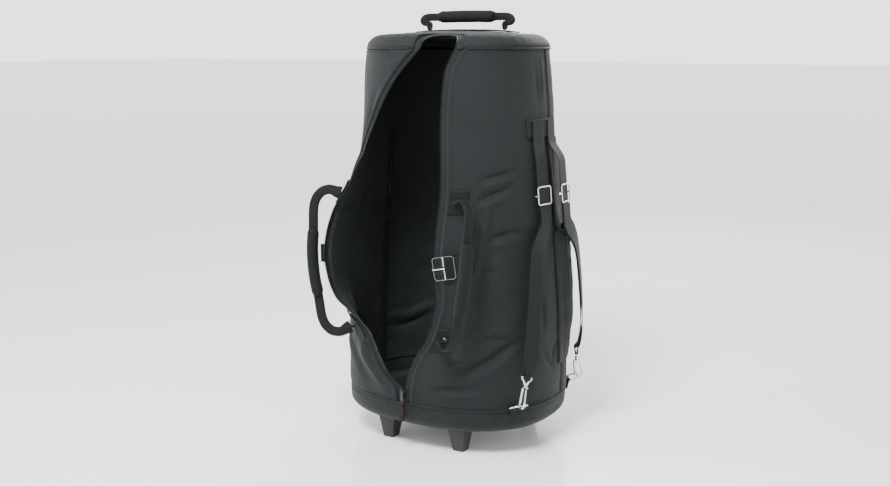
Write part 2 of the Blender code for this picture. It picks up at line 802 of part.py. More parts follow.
def teeth_line(sewn, free):
    """The middle of the teeth, beside the free edge of a tape."""
    line = []
    for i, (start, end) in enumerate(zip(sewn, free)):
        along = (free[min(i + 1, len(free) - 1)] - free[max(i - 1, 0)]).normalized()
        onward = end - start
        onward = (onward - along * onward.dot(along)).normalized()
        line.append(end + onward * (COIL_RADIUS + GAP))
    return line


def make_zip_tapes():
    for side, name in ((-1, "left"), (1, "right")):
        sewn, free = tape_lines(side)
        mesh = grid_mesh("tape", [[a, b] for a, b in zip(sewn, free)])
        solidify(finish(f"zip_tape_{name}", mesh, WEBBING_CLOTH), TAPE_THICKNESS, 0.0)
        coil = teeth_line(sewn, free)
        tube(f"zip_teeth_{name}", coil, COIL_RADIUS, ZIP_PLASTIC, resolution=0)


def zip_place(height):
    """The middle between the closed zip's two rows of teeth."""
    left = on_side(-1, height, COIL_RADIUS, -ZIP_DEPTH)[0]
    right = on_side(1, height, COIL_RADIUS, -ZIP_DEPTH)[0]
    return (left + right) / 2


def make_slider():
    place = zip_place(SLIDER_HEIGHT)
    inner = COIL_RADIUS + SLIDER_CLEARANCE
    half_width, half_length = SLIDER_WIDTH / 2, SLIDER_LENGTH / 2
    outline = [
        (-half_width, half_length * 0.6),
        (-half_width * 0.6, half_length),
        (half_width * 0.6, half_length),
        (half_width, half_length * 0.6),
        (half_width * 0.72, -half_length),
        (-half_width * 0.72, -half_length),
    ]
    upright = Matrix.Rotation(math.pi / 2, 4, "X")
    plates = []
    for sign in (-1, 1):
        plate = plate_mesh(outline, SLIDER_PLATE)
        plate.transform(upright)
        plate.transform(Matrix.Translation(place + Vector((0, sign * (inner + SLIDER_PLATE / 2), 0))))
        plates.append(plate)
    slider = finish("zip_slider", plates[0], CHROME, place)
    combine(slider, finish("slider_back", plates[1], CHROME, place), "UNION")
    post = box_mesh((0.0009, 2 * inner + SLIDER_PLATE, 0.003), place + Vector((0, 0, half_length * 0.6)))
    combine(slider, finish("slider_post", post, CHROME, place), "UNION")
    front = place.y - inner - SLIDER_PLATE
    bridge = box_mesh((0.0024, 0.0074, 0.0016), (place.x, front - 0.0035, place.z + 0.0040))
    combine(slider, finish("slider_bridge", bridge, CHROME, place), "UNION")
    return Vector((place.x, front - 0.0052, place.z + 0.0040))


def make_zip_tab(pivot):
    half = TAB_WIDTH / 2
    slot = 0.0032
    outline = [(-half, -TAB_LENGTH), (half, -TAB_LENGTH), (half * 0.8, 0.0036), (-half * 0.8, 0.0036)]
    hole_top = [(-slot / 2, 0.0021), (slot / 2, 0.0021), (slot / 2, -0.0045), (-slot / 2, -0.0045)]
    low = -TAB_LENGTH + 0.0018
    side = half - 0.0014
    hole_low = [(-side, low), (side, low), (side, low + 0.006), (-side, low + 0.006)]
    mesh = plate_mesh(outline, TAB_THICKNESS, (hole_top, hole_low))
    mesh.transform(Matrix.Rotation(math.pi / 2, 4, "X"))
    mesh.transform(Matrix.Translation(pivot))
    finish("zip_tab", mesh, CHROME, pivot)
    ring_at = pivot + Vector((0, 0, low - 0.0009))
    path = []
    for i in range(9):
        turn = math.pi * i / 8
        path.append(ring_at + Vector((0, -0.0022 * math.cos(turn), 0.0022 * math.sin(turn))))
    front_leg = ring_at + Vector((0, -0.0022, -PULL_LENGTH))
    back_leg = ring_at + Vector((0, 0.0022, -PULL_LENGTH * 0.94))
    points = [front_leg, (front_leg + path[0]) / 2, *path, (back_leg + path[-1]) / 2, back_leg]
    narrow = TAB_WIDTH - 0.0036
    widths = [PULL_WIDTH, PULL_WIDTH * 0.8] + [narrow] * 9 + [PULL_WIDTH * 0.8, PULL_WIDTH]
    ribbon("zip_pull", points, Vector((1, 0, 0)), widths, 0.0012, PULL_CLOTH, pivot)


def make_zip_stop():
    middle = zip_place(BOOT_TOP + GROOVE + GAP + STOP_HEIGHT / 2)
    middle.y -= COIL_RADIUS + SLIDER_CLEARANCE + STOP_THICKNESS / 2
    finish("zip_stop", box_mesh((STOP_WIDTH, STOP_THICKNESS, STOP_HEIGHT), middle), CHROME)


# Sewn patches
def side_spot(side, height, from_edge):
    """A point on a side at a distance from the zip's edge, and the cloth's outward normal."""
    step = 0.004
    here, outward, _ = on_side(side, height, from_edge)
    aside = on_side(side, height, from_edge + step)[0] - here
    up = on_side(side, height + step, from_edge)[0] - here
    normal = aside.cross(up).normalized()
    if normal.dot(outward) < 0:
        normal = -normal
    return here, normal


def crown_spot(x, y):
    step = 0.004
    here = Vector((x, y, crown_height(x, y)))
    aside = Vector((x + step, y, crown_height(x + step, y))) - here
    ahead = Vector((x, y + step, crown_height(x, y + step))) - here
    return here, aside.cross(ahead).normalized()


def wall_spot(direction, height):
    step = 0.004
    here, _, sideways = wall_frame(direction, height)
    up = wall(direction, height + step) - here
    return here, sideways.cross(up).normalized()


def patch(name, grid, thickness, look, seat=SEAT):
    """A cloth patch that follows the bag, from a grid of (point, normal)."""
    rows = [[point + normal * seat for point, normal in row] for row in grid]
    sense = (rows[0][1] - rows[0][0]).cross(rows[1][0] - rows[0][0])
    if sense.dot(grid[0][0][1]) < 0:
        rows = [row[::-1] for row in rows]
    thing = finish(name, grid_mesh(name, rows), look)
    solidify(thing, thickness, 1.0)
    return thing


# Handles
def end_standoff(normal, along, seat=SEAT):
    """Height of a handle's bend point over the cloth, so that its round end just clears."""
    slant = abs(normal.dot(along))
    reach = END_RADIUS * math.sqrt(1 - slant * slant) + FOLDED_THICKNESS / 2 * slant
    return seat + ANCHOR_THICKNESS + END_CLEARANCE + reach


def handle(name, low, high, out, leg, grip_length, grip_rise, grip_bow):
    """A webbing loop with a padded grip. It turns about the line from low to high."""
    along = (high - low).normalized()
    out = (out - along * out.dot(along)).normalized()
    across = along.cross(out)
    half = (high - low).length / 2
    middle = (low + high) / 2
    grip_half = grip_length / 2

    def place(position, rise):
        return middle + along * position + out * rise

    first = [place(-half - past, rise) for past, rise in leg]
    last = [place(half + past, rise) for past, rise in reversed(leg)]
    held = [place(s * grip_half, grip_rise + grip_bow * (1 - s * s)) for s in (-1, -0.5, 0, 0.5, 1)]
    path = blend_points([*first, *held, *last], 2)
    webbing = ribbon(
        f"{name}_webbing", path, across, FOLDED_WEBBING, FOLDED_THICKNESS, WEBBING_CLOTH, low
    )
    for number, end in enumerate((low, high)):
        disc = rod_mesh(END_RADIUS, FOLDED_THICKNESS, end, along, 16)
        combine(webbing, finish(f"{name}_end_{number}", disc, WEBBING_CLOTH, low), "UNION")
    reach = grip_half + 0.0005
    grip_line = [p for p in path if abs((p - middle).dot(along)) <= reach]
    grip = finish(f"{name}_grip", tube_mesh(grip_line, GRIP_RADIUS, resolution=2), WEBBING_CLOTH, low)
    first_out = path[path.index(grip_line[0]) - 1]
    last_out = path[path.index(grip_line[-1]) + 1]
    channel = ribbon(
        f"{name}_channel", [first_out, *grip_line, last_out], across,
        FOLDED_WEBBING + 2 * GAP, FOLDED_THICKNESS + 2 * GAP, WEBBING_CLOTH, low,
    )
    combine(grip, channel, "DIFFERENCE")


def make_top_handle():
    half = TOP_HANDLE_SPAN / 2
    ends = []
    for side in (-1, 1):
        point, normal = crown_spot(side * half, TOP_HANDLE_Y)
        ends.append(point + normal * end_standoff(normal, Vector((1, 0, 0))))
    reach = half + ANCHOR_LENGTH / 2
    grid = [
        [crown_spot(reach * u / 5, TOP_HANDLE_Y + WEBBING * v) for u in range(-5, 6)]
        for v in (-0.5, 0.0, 0.5)
    ]
    patch("top_handle_base", grid, ANCHOR_THICKNESS, WEBBING_CLOTH)
    handle(
        "top_handle", *ends, Vector((0, 0, 1)), TOP_HANDLE_LEG, TOP_GRIP_LENGTH, TOP_GRIP_RISE,
        TOP_GRIP_BOW,
    )


def make_carry_handle(side, name, direction):
    turn = math.radians(direction)
    seat = FLARE_SEAT if side < 0 else SEAT
    spots = [side_spot(side, h, CARRY_EDGE_DISTANCE) for h in (CARRY_LOW, CARRY_HIGH)]
    along = (spots[1][0] - spots[0][0]).normalized()
    ends = [point + normal * end_standoff(normal, along, seat) for point, normal in spots]
    for end, middle in (("low", CARRY_LOW), ("high", CARRY_HIGH)):
        low, high = middle - ANCHOR_LENGTH / 2, middle + ANCHOR_LENGTH / 2
        rows = [low, *[h for h in row_heights() if low + 0.005 < h < high - 0.005], high]
        grid = [
            [side_spot(side, h, CARRY_EDGE_DISTANCE + WEBBING * u) for u in (-0.5, 0.0, 0.5)]
            for h in rows
        ]
        patch(f"{name}_handle_base_{end}", grid, ANCHOR_THICKNESS, WEBBING_CLOTH, seat)
    handle(
        f"{name}_handle", *ends, Vector((math.cos(turn), math.sin(turn), 0)), CARRY_LEG,
        CARRY_GRIP_LENGTH, CARRY_GRIP_RISE, CARRY_GRIP_BOW,
    )


# Closing strap
def at(frame, x, y, z):
    """A point given in a frame of (origin, x, y and z directions)."""
    origin, ax, ay, az = frame
    return origin + ax * x + ay * y + az * z


def arc(frame, radius, start, end, steps, y=0.0):
    """Points of an arc in a frame's x and z, from and to angles in degrees above x."""
    points = []
    for i in range(steps + 1):
        turn = math.radians(start + (end - start) * i / steps)
        points.append(at(frame, radius * math.cos(turn), y, radius * math.sin(turn)))
    return points


def closure_spot(direction, standoff):
    """A point over the closing strap's line on the bag."""
    share = (direction - CLOSURE_NEAR) / (CLOSURE_FAR - CLOSURE_NEAR)
    height = CLOSURE_HEIGHT + CLOSURE_RISE * share
    point, normal = wall_spot(direction, height)
    return point + normal * standoff, normal


def make_closing_strap():
    origin, outward = closure_spot(CLOSURE_NEAR, BUCKLE_STANDOFF)
    along = closure_spot(CLOSURE_NEAR + 2, BUCKLE_STANDOFF)[0] - origin
    along = (along - outward * along.dot(outward)).normalized()
    frame = (origin, along, outward.cross(along), outward)
    make_buckle(frame)
    loop = BUCKLE_WIRE + GAP + WEBBING_THICKNESS / 2
    under = SEAT + WEBBING_THICKNESS / 2
    over = under + WEBBING_THICKNESS + GAP
    metres_per_degree = (closure_spot(CLOSURE_NEAR + 10, 0)[0] - closure_spot(CLOSURE_NEAR, 0)[0])
    metres_per_degree = metres_per_degree.length / 10

    def lying(distance, standoff):
        return closure_spot(CLOSURE_NEAR + distance / metres_per_degree, standoff)[0]

    reach = (CLOSURE_FAR - CLOSURE_NEAR) * metres_per_degree
    lower = [lying(reach * i / 5, under) for i in (5, 4, 3, 2)]
    lower += [lying(0.012, under + 0.0006), at(frame, 0.005, 0, -loop)]
    turn = arc(frame, loop, -90, -270, 8)
    upper = [
        at(frame, 0.0030, 0, loop), at(frame, 0.0110, 0, -0.0012),
        lying(BUCKLE_LENGTH / 2 - 0.003, over), lying(CLOSURE_FOLD, over),
    ]
    strap = ribbon(
        "closing_strap", [*lower, *turn, *upper], frame[2], WEBBING, WEBBING_THICKNESS,
        WEBBING_CLOTH,
    )
    inner = loop + WEBBING_THICKNESS
    slot_length = inner + 0.0100
    slot = box_mesh((slot_length, PRONG_SLOT, 2 * inner), (0, 0, 0))
    slot.transform(Matrix((frame[1], frame[2], frame[3])).transposed().to_4x4())
    slot.transform(Matrix.Translation(at(frame, slot_length / 2 - inner, 0, 0)))
    combine(strap, finish("prong_slot", slot, WEBBING_CLOTH), "DIFFERENCE")


def rounded_loop(frame, length, height, corner, z=0.0):
    """A rectangle with round corners in a frame's x and y."""
    points = []
    for number, (sx, sy) in enumerate(((1, 1), (-1, 1), (-1, -1), (1, -1))):
        cx, cy = sx * (length / 2 - corner), sy * (height / 2 - corner)
        for i in range(4):
            turn = math.radians(90 * number + 30 * i)
            points.append(at(frame, cx + corner * math.cos(turn), cy + corner * math.sin(turn), z))
    return points


def make_buckle(frame):
    pivot = frame[0]
    rim = tube_mesh(rounded_loop(frame, BUCKLE_LENGTH, BUCKLE_HEIGHT, 0.006), BUCKLE_WIRE, True)
    buckle = finish("buckle_frame", rim, CHROME, pivot)
    bar = rod_mesh(BUCKLE_WIRE, BUCKLE_HEIGHT, pivot, frame[2], 12)
    combine(buckle, finish("buckle_bar", bar, CHROME, pivot), "UNION")
    around = BUCKLE_WIRE + GAP + PRONG_WIRE
    path = arc(frame, around, 205, 450, 9)
    path.append(at(frame, -BUCKLE_LENGTH / 4, 0, around + 0.0004))
    path.append(at(frame, -BUCKLE_LENGTH / 2 - 0.0015, 0, around))
    tube("buckle_prong", path, PRONG_WIRE, CHROME, pivot)


def make_tongue():
    """The left half of the closing strap, with its free end standing away from the bag."""
    points = []
    steps = 4
    for i in range(steps + 1):
        from_edge = TONGUE_START + (TONGUE_END - TONGUE_START) * i / steps
        point, normal = side_spot(-1, CLOSURE_HEIGHT, from_edge)
        points.append(point + normal * (SEAT + 0.0004 + WEBBING_THICKNESS / 2))
    last = points[-1]
    onward = (points[-1] - points[-2]).normalized()
    for share, forward in ((0.2, 0.0050), (0.55, 0.0075), (1.0, 0.0085)):
        points.append(last + normal * TONGUE_FREE * share + onward * forward)
    up = side_spot(-1, CLOSURE_HEIGHT + 0.01, TONGUE_END)[0]
    up -= side_spot(-1, CLOSURE_HEIGHT - 0.01, TONGUE_END)[0]
    ribbon("closing_strap_end", points, up, WEBBING, WEBBING_THICKNESS, WEBBING_CLOTH)


# Backpack straps
def strap_direction(which, angle):
    """Direction on the bag, from the front, at an angle from the middle of the strap side."""
    return 90 - angle if which == "front" else 90 + angle


def make_strap_band():
    grid = []
    for share in (0.0, 0.5, 1.0):
        height = BAND_LOW + BAND_HEIGHT * share
        grid.append([wall_spot(90 + BAND_HALF_ANGLE * u / 3, height) for u in range(-3, 4)])
    patch("strap_band", grid, BAND_THICKNESS, NYLON)


def strap_line(which):
    """The three runs of a strap: from the band, straight through the slide, down to the hook."""
    top = strap_direction(which, STRAP_TOP_ANGLE)
    on_band = SEAT + BAND_THICKNESS + 2 * GAP + STRAP_THICKNESS / 2
    off_band = BAND_LOW - 0.006
    upper = [wall(top, BAND_LOW + BAND_HEIGHT - 0.003, on_band), wall(top, off_band, on_band)]
    for i in range(1, 5):
        share = i / 5
        rise = (STRAP_STANDOFF[which] - on_band) * (3 - 2 * share) * share * share
        upper.append(wall(top, off_band + (STRAIGHT_HIGH - off_band) * share, on_band + rise))
    straight = [wall(top, h, STRAP_STANDOFF[which]) for h in (STRAIGHT_HIGH, STRAIGHT_LOW)]
    bow = STRAP_BOW[which] - YOKE_STANDOFF
    lower = []
    for height, angle, share in STRAP_COURSE:
        lower.append(wall(strap_direction(which, angle), height, YOKE_STANDOFF + bow * share))
    return upper, straight, lower


def yoke_frame(which):
    """At the yoke's bar: x along the bar, y up the hook's own axis, z away from the bag."""
    direction = strap_direction(which, STRAP_HOOK_ANGLE)
    top, outward, _ = wall_frame(direction, YOKE_HEIGHT, YOKE_STANDOFF)
    ring_origin, _, _, ring_out = ring_frame(which)
    apex = ring_origin + ring_out * RING_REACH
    up = (top - apex).normalized()
    out = (outward - up * outward.dot(up)).normalized()
    return top, up.cross(out), up, out


def ring_frame(which):
    """At the ring's bar: x along the bar, z to the middle of its bow."""
    direction = strap_direction(which, STRAP_RING_ANGLE)
    origin, outward, sideways = wall_frame(direction, RING_HEIGHT, RING_STANDOFF)
    lift = math.radians(RING_LIFT)
    bow = outward * math.cos(lift) + Vector((0, 0, 1)) * math.sin(lift)
    return origin, sideways, bow.cross(sideways), bow


def facing(point):
    """The way out of the bag at a point beside it."""
    direction = math.degrees(math.atan2(point.x, -point.y))
    return wall_frame(direction, point.z)[1]


def across_line(points):
    """Width directions of a strap that faces away from the bag all along."""
    directions = []
    for i, point in enumerate(points):
        ahead = points[min(i + 1, len(points) - 1)] - points[max(i - 1, 0)]
        directions.append(ahead.cross(facing(point)).normalized())
    return directions


def make_strap(which):
    upper, straight, lower = strap_line(which)
    yoke = yoke_frame(which)
    loop = YOKE_WIRE + GAP + STRAP_THICKNESS / 2
    behind = at(yoke, 0, 0.012, -loop - 0.0006)
    lower_run = blend_points([straight[1], *lower, behind], 2)
    wrap = []
    for i in range(9):
        turn = math.pi * i / 8
        wrap.append(at(yoke, 0, -loop * math.sin(turn), -loop * math.cos(turn)))
    wrap.append(at(yoke, 0, 0.0045, loop))
    hanging = [*upper, *straight, *lower_run[1:]]
    across = across_line(hanging) + [-yoke[1]] * len(wrap)
    across[-len(wrap) - 1] = -yoke[1]
    steps = 5
    widths = [STRAP_WIDTH] * (len(hanging) - steps)
    for i in range(steps):
        widths.append(STRAP_WIDTH + (STRAP_END_WIDTH - STRAP_WIDTH) * (i + 1) / steps)
    widths += [STRAP_END_WIDTH] * len(wrap)
    ribbon(f"{which}_strap", [*hanging, *wrap], across, widths, STRAP_THICKNESS, WEBBING_CLOTH)
    make_slide(which, straight)
    make_return(which, straight, lower_run, yoke, loop)


def slide_frame(which, straight):
    """At the slide's middle: x across the strap, y up along it, z away from the bag."""
    up = (straight[0] - straight[1]).normalized()
    share = (SLIDE_HEIGHT - STRAIGHT_LOW) / (STRAIGHT_HIGH - STRAIGHT_LOW)
    origin = straight[1] + (straight[0] - straight[1]) * share
    outward = facing(origin)
    outward = (outward - up * outward.dot(up)).normalized()
    return origin, up.cross(outward), up, outward


def make_slide(which, straight):
    frame = slide_frame(which, straight)
    pivot = frame[0]
    off = STRAP_THICKNESS / 2 + GAP + SLIDE_WIRE + 0.0002
    width = STRAP_WIDTH + 2 * SLIDE_SIDE_CLEARANCE + 2 * SLIDE_WIRE
    loop = rounded_loop(frame, width, SLIDE_LENGTH, 0.005, off)
    slide = finish(f"{which}_slide", tube_mesh(loop, SLIDE_WIRE, True), CHROME, pivot)
    half = width / 2
    path = [at(frame, x, 0, z) for x, z in (
        (-half, off), (-half, 0.2 * off), (-half + 0.0008, -off), (half - 0.0008, -off),
        (half, 0.2 * off), (half, off),
    )]
    bar = finish(f"{which}_slide_bar", tube_mesh(path, SLIDE_WIRE), CHROME, pivot)
    combine(slide, bar, "UNION")


def make_return(which, straight, lower_run, yoke, loop):
    """The strap's second layer, from the yoke up to the slide."""
    frame = slide_frame(which, straight)
    off = STRAP_THICKNESS / 2 + GAP + SLIDE_WIRE + 0.0002
    top = at(frame, 0, -SLIDE_LENGTH / 2 - SLIDE_WIRE - STRAP_THICKNESS / 2 - GAP, off)
    points = [top]
    for point in (straight[1], *lower_run[1:-2]):
        if point.z < top.z - SLIDE_LENGTH / 2:
            points.append(point + facing(point) * RETURN_DISTANCE)
    points.append(at(yoke, 0, 0.0160, loop + 0.0012))
    points.append(at(yoke, 0, 0.0049, loop + 0.0002))
    across = across_line(points)
    across[-1] = -yoke[1]
    widths = [STRAP_WIDTH] * (len(points) - 3)
    widths += [STRAP_WIDTH * 0.86, STRAP_WIDTH * 0.62, STRAP_END_WIDTH]
    ribbon(f"{which}_strap_return", points, across, widths, STRAP_THICKNESS, WEBBING_CLOTH)


def make_hook(which):
    yoke = yoke_frame(which)
    half = YOKE_WIDTH / 2
    legs = [at(yoke, x, y, 0) for x, y in (
        (-COLLAR_RADIUS - 0.0008, -YOKE_LENGTH), (-COLLAR_RADIUS - 0.0010, -0.0080),
        (-half, -0.0028), (-half + 0.0016, 0), (half - 0.0016, 0), (half, -0.0028),
        (COLLAR_RADIUS + 0.0010, -0.0080), (COLLAR_RADIUS + 0.0008, -YOKE_LENGTH),
    )]
    body = finish(f"{which}_yoke", tube_mesh(legs, YOKE_WIRE), CHROME, yoke[0])
    collar_at = at(yoke, 0, -YOKE_LENGTH, 0)
    collar = rod_mesh(COLLAR_RADIUS, COLLAR_LENGTH, collar_at, yoke[2], 16)
    combine(body, finish(f"{which}_collar", collar, CHROME, yoke[0]), "UNION")
    bore = rod_mesh(STEM_RADIUS + GAP, 2 * COLLAR_LENGTH, collar_at, yoke[2], 16)
    combine(body, finish(f"{which}_collar_bore", bore, CHROME, yoke[0]), "DIFFERENCE")

    # The hook's own origin is at the underside of the collar, on the swivel's axis.
    top = at(yoke, 0, -YOKE_LENGTH - COLLAR_LENGTH / 2 - GAP, 0)
    ring = ring_frame(which)
    apex = ring[0] + ring[3] * RING_REACH
    length = (top - apex).length + RING_WIRE + HOOK_CLEARANCE + HOOK_WIRE
    hook_frame = (top, yoke[3], -yoke[2], yoke[1])
    wide = HOOK_HALF_WIDTH
    profile = [(0.0, 0.0024), (-wide * 0.75, 0.0050), (-wide, 0.0110)]
    for i in range(7):
        turn = math.pi * i / 6
        profile.append((-wide * math.cos(turn), length - wide + wide * math.sin(turn) ** 0.7))
    profile.append((wide, length - 0.0120))
    path = [at(hook_frame, x, y, 0) for x, y in profile]
    hook = finish(f"{which}_hook", tube_mesh(path, HOOK_WIRE), CHROME, top)
    base = rod_mesh(0.0036, 0.0048, at(hook_frame, 0, 0.0024, 0), yoke[2], 16)
    stem_length = COLLAR_LENGTH + 4 * GAP + 0.0015
    stem = rod_mesh(STEM_RADIUS, stem_length, at(hook_frame, 0, 0.0010 - stem_length / 2, 0), yoke[2], 12)
    head_at = at(hook_frame, 0, -COLLAR_LENGTH - 2 * GAP - 0.0006, 0)
    head = rod_mesh(STEM_HEAD_RADIUS, 0.0012, head_at, yoke[2], 12)
    lug = rod_mesh(0.0022, 0.0056, at(hook_frame, wide * 0.60, 0.0040, 0), yoke[1], 12)
    for number, piece in enumerate((base, stem, head, lug)):
        combine(hook, finish(f"{which}_hook_{number}", piece, CHROME, top), "UNION")

    hinge = at(hook_frame, wide * 0.60, 0.0040 + 0.0022 + GAP + GATE_WIRE, 0)
    tip = at(hook_frame, wide, length - 0.0120 - GAP - 0.0002, 0)
    tube(f"{which}_gate", [hinge, tip], GATE_WIRE, CHROME, hinge)


def make_ring(which):
    frame = ring_frame(which)
    points = [at(frame, -RING_HALF_WIDTH, 0, 0), at(frame, RING_HALF_WIDTH, 0, 0)]
    for i in range(1, 10):
        turn = math.pi * i / 10
        points.append(at(
            frame, RING_HALF_WIDTH * math.copysign(abs(math.cos(turn)) ** 0.8, math.cos(turn)), 0,
            RING_REACH * math.sin(turn) ** 0.8,
        ))
    tube(f"{which}_ring", points, RING_WIRE, CHROME, frame[0], closed=True)

    direction = strap_direction(which, STRAP_RING_ANGLE)
    _, outward, sideways = wall_frame(direction, RING_HEIGHT)
    level = (frame[0], outward, sideways, Vector((0, 0, 1)))
    loop = RING_WIRE + GAP + RING_TAB_THICKNESS / 2
    low = RING_HEIGHT - RING_TAB_LENGTH
    inner = SEAT + RING_TAB_THICKNESS / 2
    outer = inner + RING_TAB_THICKNESS + GAP
    over_cord = CORD_RADIUS - seam_inset(BOOT_TOP)[1] + GAP + RING_TAB_THICKNESS / 2
    over_cord += 0.0006
    path = [
        wall(direction, low, inner), wall(direction, BOOT_TOP - 0.004, over_cord),
        wall(direction, BOOT_TOP + 0.001, over_cord), *arc(level, loop, 215, -40, 9),
        wall(direction, BOOT_TOP + 0.001, over_cord + RING_TAB_THICKNESS + GAP + 0.0006),
        wall(direction, BOOT_TOP - 0.004, over_cord + RING_TAB_THICKNESS + GAP + 0.0002),
        wall(direction, low, outer + 0.0002),
    ]
    ribbon(f"{which}_ring_tab", path, sideways, RING_TAB_WIDTH, RING_TAB_THICKNESS, WEBBING_CLOTH)


# Stow flap and pocket
def make_stow_flap():
    grid = []
    for i in range(5):
        height = STOW_FLAP_LOW + (STOW_FLAP_HIGH - STOW_FLAP_LOW) * i / 4
        row = []
        for j in range(8):
            direction = STOW_NEAR_ANGLE + (STOW_FAR_ANGLE - STOW_NEAR_ANGLE) * j / 7
            row.append(wall_spot(direction, height))
        grid.append(row)
    patch("stow_flap", grid, STOW_FLAP_THICKNESS, NYLON)


def make_stow_pocket():
    grid = []
    rows, columns = 7, 9
    for i in range(rows + 1):
        height = STOW_POCKET_LOW + (STOW_POCKET_HIGH - STOW_POCKET_LOW) * i / rows
        fill = math.sin(min(1.0, 1.6 * i / rows) * math.pi / 2)
        row = []
        for j in range(columns + 1):
            share = j / columns
            direction = STOW_NEAR_ANGLE + (STOW_FAR_ANGLE - STOW_NEAR_ANGLE) * share
            point, normal = wall_spot(direction, height)
            swell = min(1.0, math.sin(share * math.pi) * 1.5)
            row.append((point + normal * STOW_POCKET_BULGE * fill * swell, normal))
        grid.append(row)
    patch("stow_pocket", grid, STOW_POCKET_THICKNESS, NYLON)


# Feet and wheels
def make_feet():
    height = BASE_HEIGHT - GAP
    for side, name in ((-1, "left"), (1, "right")):
        shape = bmesh.new()
        bmesh.ops.create_cube(shape, size=1.0)
        for vert in shape.verts:
            width = FOOT_TOP if vert.co.z > 0 else FOOT_BOTTOM
            vert.co.x *= width
            vert.co.y *= width
            vert.co.z = height if vert.co.z > 0 else 0.0
        mesh = bpy.data.meshes.new("foot")
        shape.to_mesh(mesh)
        shape.free()
        centre = Vector((side * FOOT_X, FOOT_Y, 0))
        mesh.transform(Matrix.Translation(centre))
        foot = finish(f"foot_{name}", mesh, FOOT_PLASTIC)
        round_edges(foot, FOOT_EDGE)
        recess = rod_mesh(FOOT_RECESS_RADIUS, 2 * FOOT_RECESS_DEPTH, centre, Vector((0, 0, 1)), 16)
        combine(foot, finish(f"{name}_foot_recess", recess, FOOT_PLASTIC), "DIFFERENCE")


def revolve(name, profile, centre, look):
    """A ring turned about the X direction, from (height along X, radius) points."""
    shape = bmesh.new()
    verts = [shape.verts.new((radius, 0, along)) for along, radius in profile]
    for i in range(len(verts)):
        shape.edges.new((verts[i], verts[(i + 1) % len(verts)]))
    mesh = bpy.data.meshes.new(name)
    shape.to_mesh(mesh)
    shape.free()
    thing = finish(name, mesh, look, (0, 0, 0))
    turn = thing.modifiers.new("turned", "SCREW")
    turn.steps = 16
    turn.render_steps = 16
    turn.use_merge_vertices = True
    turn.merge_threshold = 0.00005
    thing.rotation_euler = (0, math.pi / 2, 0)
    thing.location = centre
    return thing


def make_wheels():
    inner = WHEEL_WIDTH / 2 + WHEEL_SIDE_CLEARANCE
    plate_top = BASE_HEIGHT - GAP
    for side, name in ((-1, "left"), (1, "right")):
        centre = Vector((side * WHEEL_X, WHEEL_Y, WHEEL_RADIUS))
        plate_width = 2 * (inner + CHEEK_THICKNESS)
        plate_at = (centre.x, centre.y, plate_top - HOUSING_PLATE / 2)
        plate = box_mesh((plate_width, HOUSING_LENGTH, HOUSING_PLATE), plate_at)
        housing = finish(f"wheel_housing_{name}", plate, FOOT_PLASTIC)
        for number, way in enumerate((-1, 1)):
            x = centre.x + way * (inner + CHEEK_THICKNESS / 2)
            outline = cheek_outline(plate_top - HOUSING_PLATE / 2 - centre.z)
            cheek = plate_mesh(outline, CHEEK_THICKNESS)
            cheek.transform(Matrix(((0, 0, 1), (1, 0, 0), (0, 1, 0))).to_4x4())
            cheek.transform(Matrix.Translation((x, centre.y, centre.z)))
            combine(housing, finish(f"{name}_cheek_{number}", cheek, FOOT_PLASTIC), "UNION")
        bore = rod_mesh(AXLE_RADIUS + AXLE_CLEARANCE, 2 * plate_width, centre, Vector((1, 0, 0)), 16)
        combine(housing, finish(f"{name}_axle_bore", bore, FOOT_PLASTIC), "DIFFERENCE")
        make_wheel(name, centre)
    length = 2 * (WHEEL_X + inner + CHEEK_THICKNESS + AXLE_END)
    axle = rod_mesh(AXLE_RADIUS, length, Vector((0, WHEEL_Y, WHEEL_RADIUS)), Vector((1, 0, 0)), 16)
    finish("wheel_axle", axle, STEEL)


def cheek_outline(top):
    """A cheek of the wheel's housing about the axle: wide at its plate, round at the axle."""
    half = HOUSING_LENGTH * 0.40
    points = [(half, top), (-half, top)]
    for i in range(9):
        turn = math.radians(200 + 140 * i / 8)
        points.append((CHEEK_RADIUS * math.cos(turn), CHEEK_RADIUS * math.sin(turn)))
    return points


def make_wheel(name, centre):
    half = WHEEL_WIDTH / 2
    rim = WHEEL_RADIUS - TYRE_THICKNESS
    hole = AXLE_RADIUS + AXLE_CLEARANCE
    hub = rim - GAP
    revolve(
        f"wheel_{name}",
        (
            (half, hole), (half, hole + 0.0028), (half * 0.55, hole + 0.0042),
            (half * 0.55, hub - 0.0020), (half * 0.9, hub), (-half * 0.9, hub),
            (-half * 0.55, hub - 0.0020), (-half * 0.55, hole + 0.0042), (-half, hole + 0.0028),
            (-half, hole),
        ),
        centre, FOOT_PLASTIC,
    )
    revolve(
        f"tyre_{name}",
        (
            (half * 0.88, rim), (half, rim + 0.0015), (half, WHEEL_RADIUS - 0.0025),
            (half * 0.8, WHEEL_RADIUS - 0.0004), (half * 0.4, WHEEL_RADIUS), (-half * 0.4, WHEEL_RADIUS),
            (-half * 0.8, WHEEL_RADIUS - 0.0004), (-half, WHEEL_RADIUS - 0.0025),
            (-half, rim + 0.0015), (-half * 0.88, rim),
        ),
        centre, RUBBER,
    )


def build():
    make_panels()
    make_top_panel()
    make_boot()
    make_base_board()
    make_piping()
    make_zip_tapes()
    make_zip_tab(make_slider())
    make_zip_stop()
    make_top_handle()
    make_carry_handle(-1, "left", LEFT_CARRY_DIRECTION)
    make_carry_handle(1, "right", RIGHT_CARRY_DIRECTION)
    make_closing_strap()
    make_tongue()
    make_strap_band()
    for which in ("front", "rear"):
        make_strap(which)
        make_hook(which)
        make_ring(which)
    make_stow_flap()
    make_stow_pocket()
    make_feet()
    make_wheels()


build()
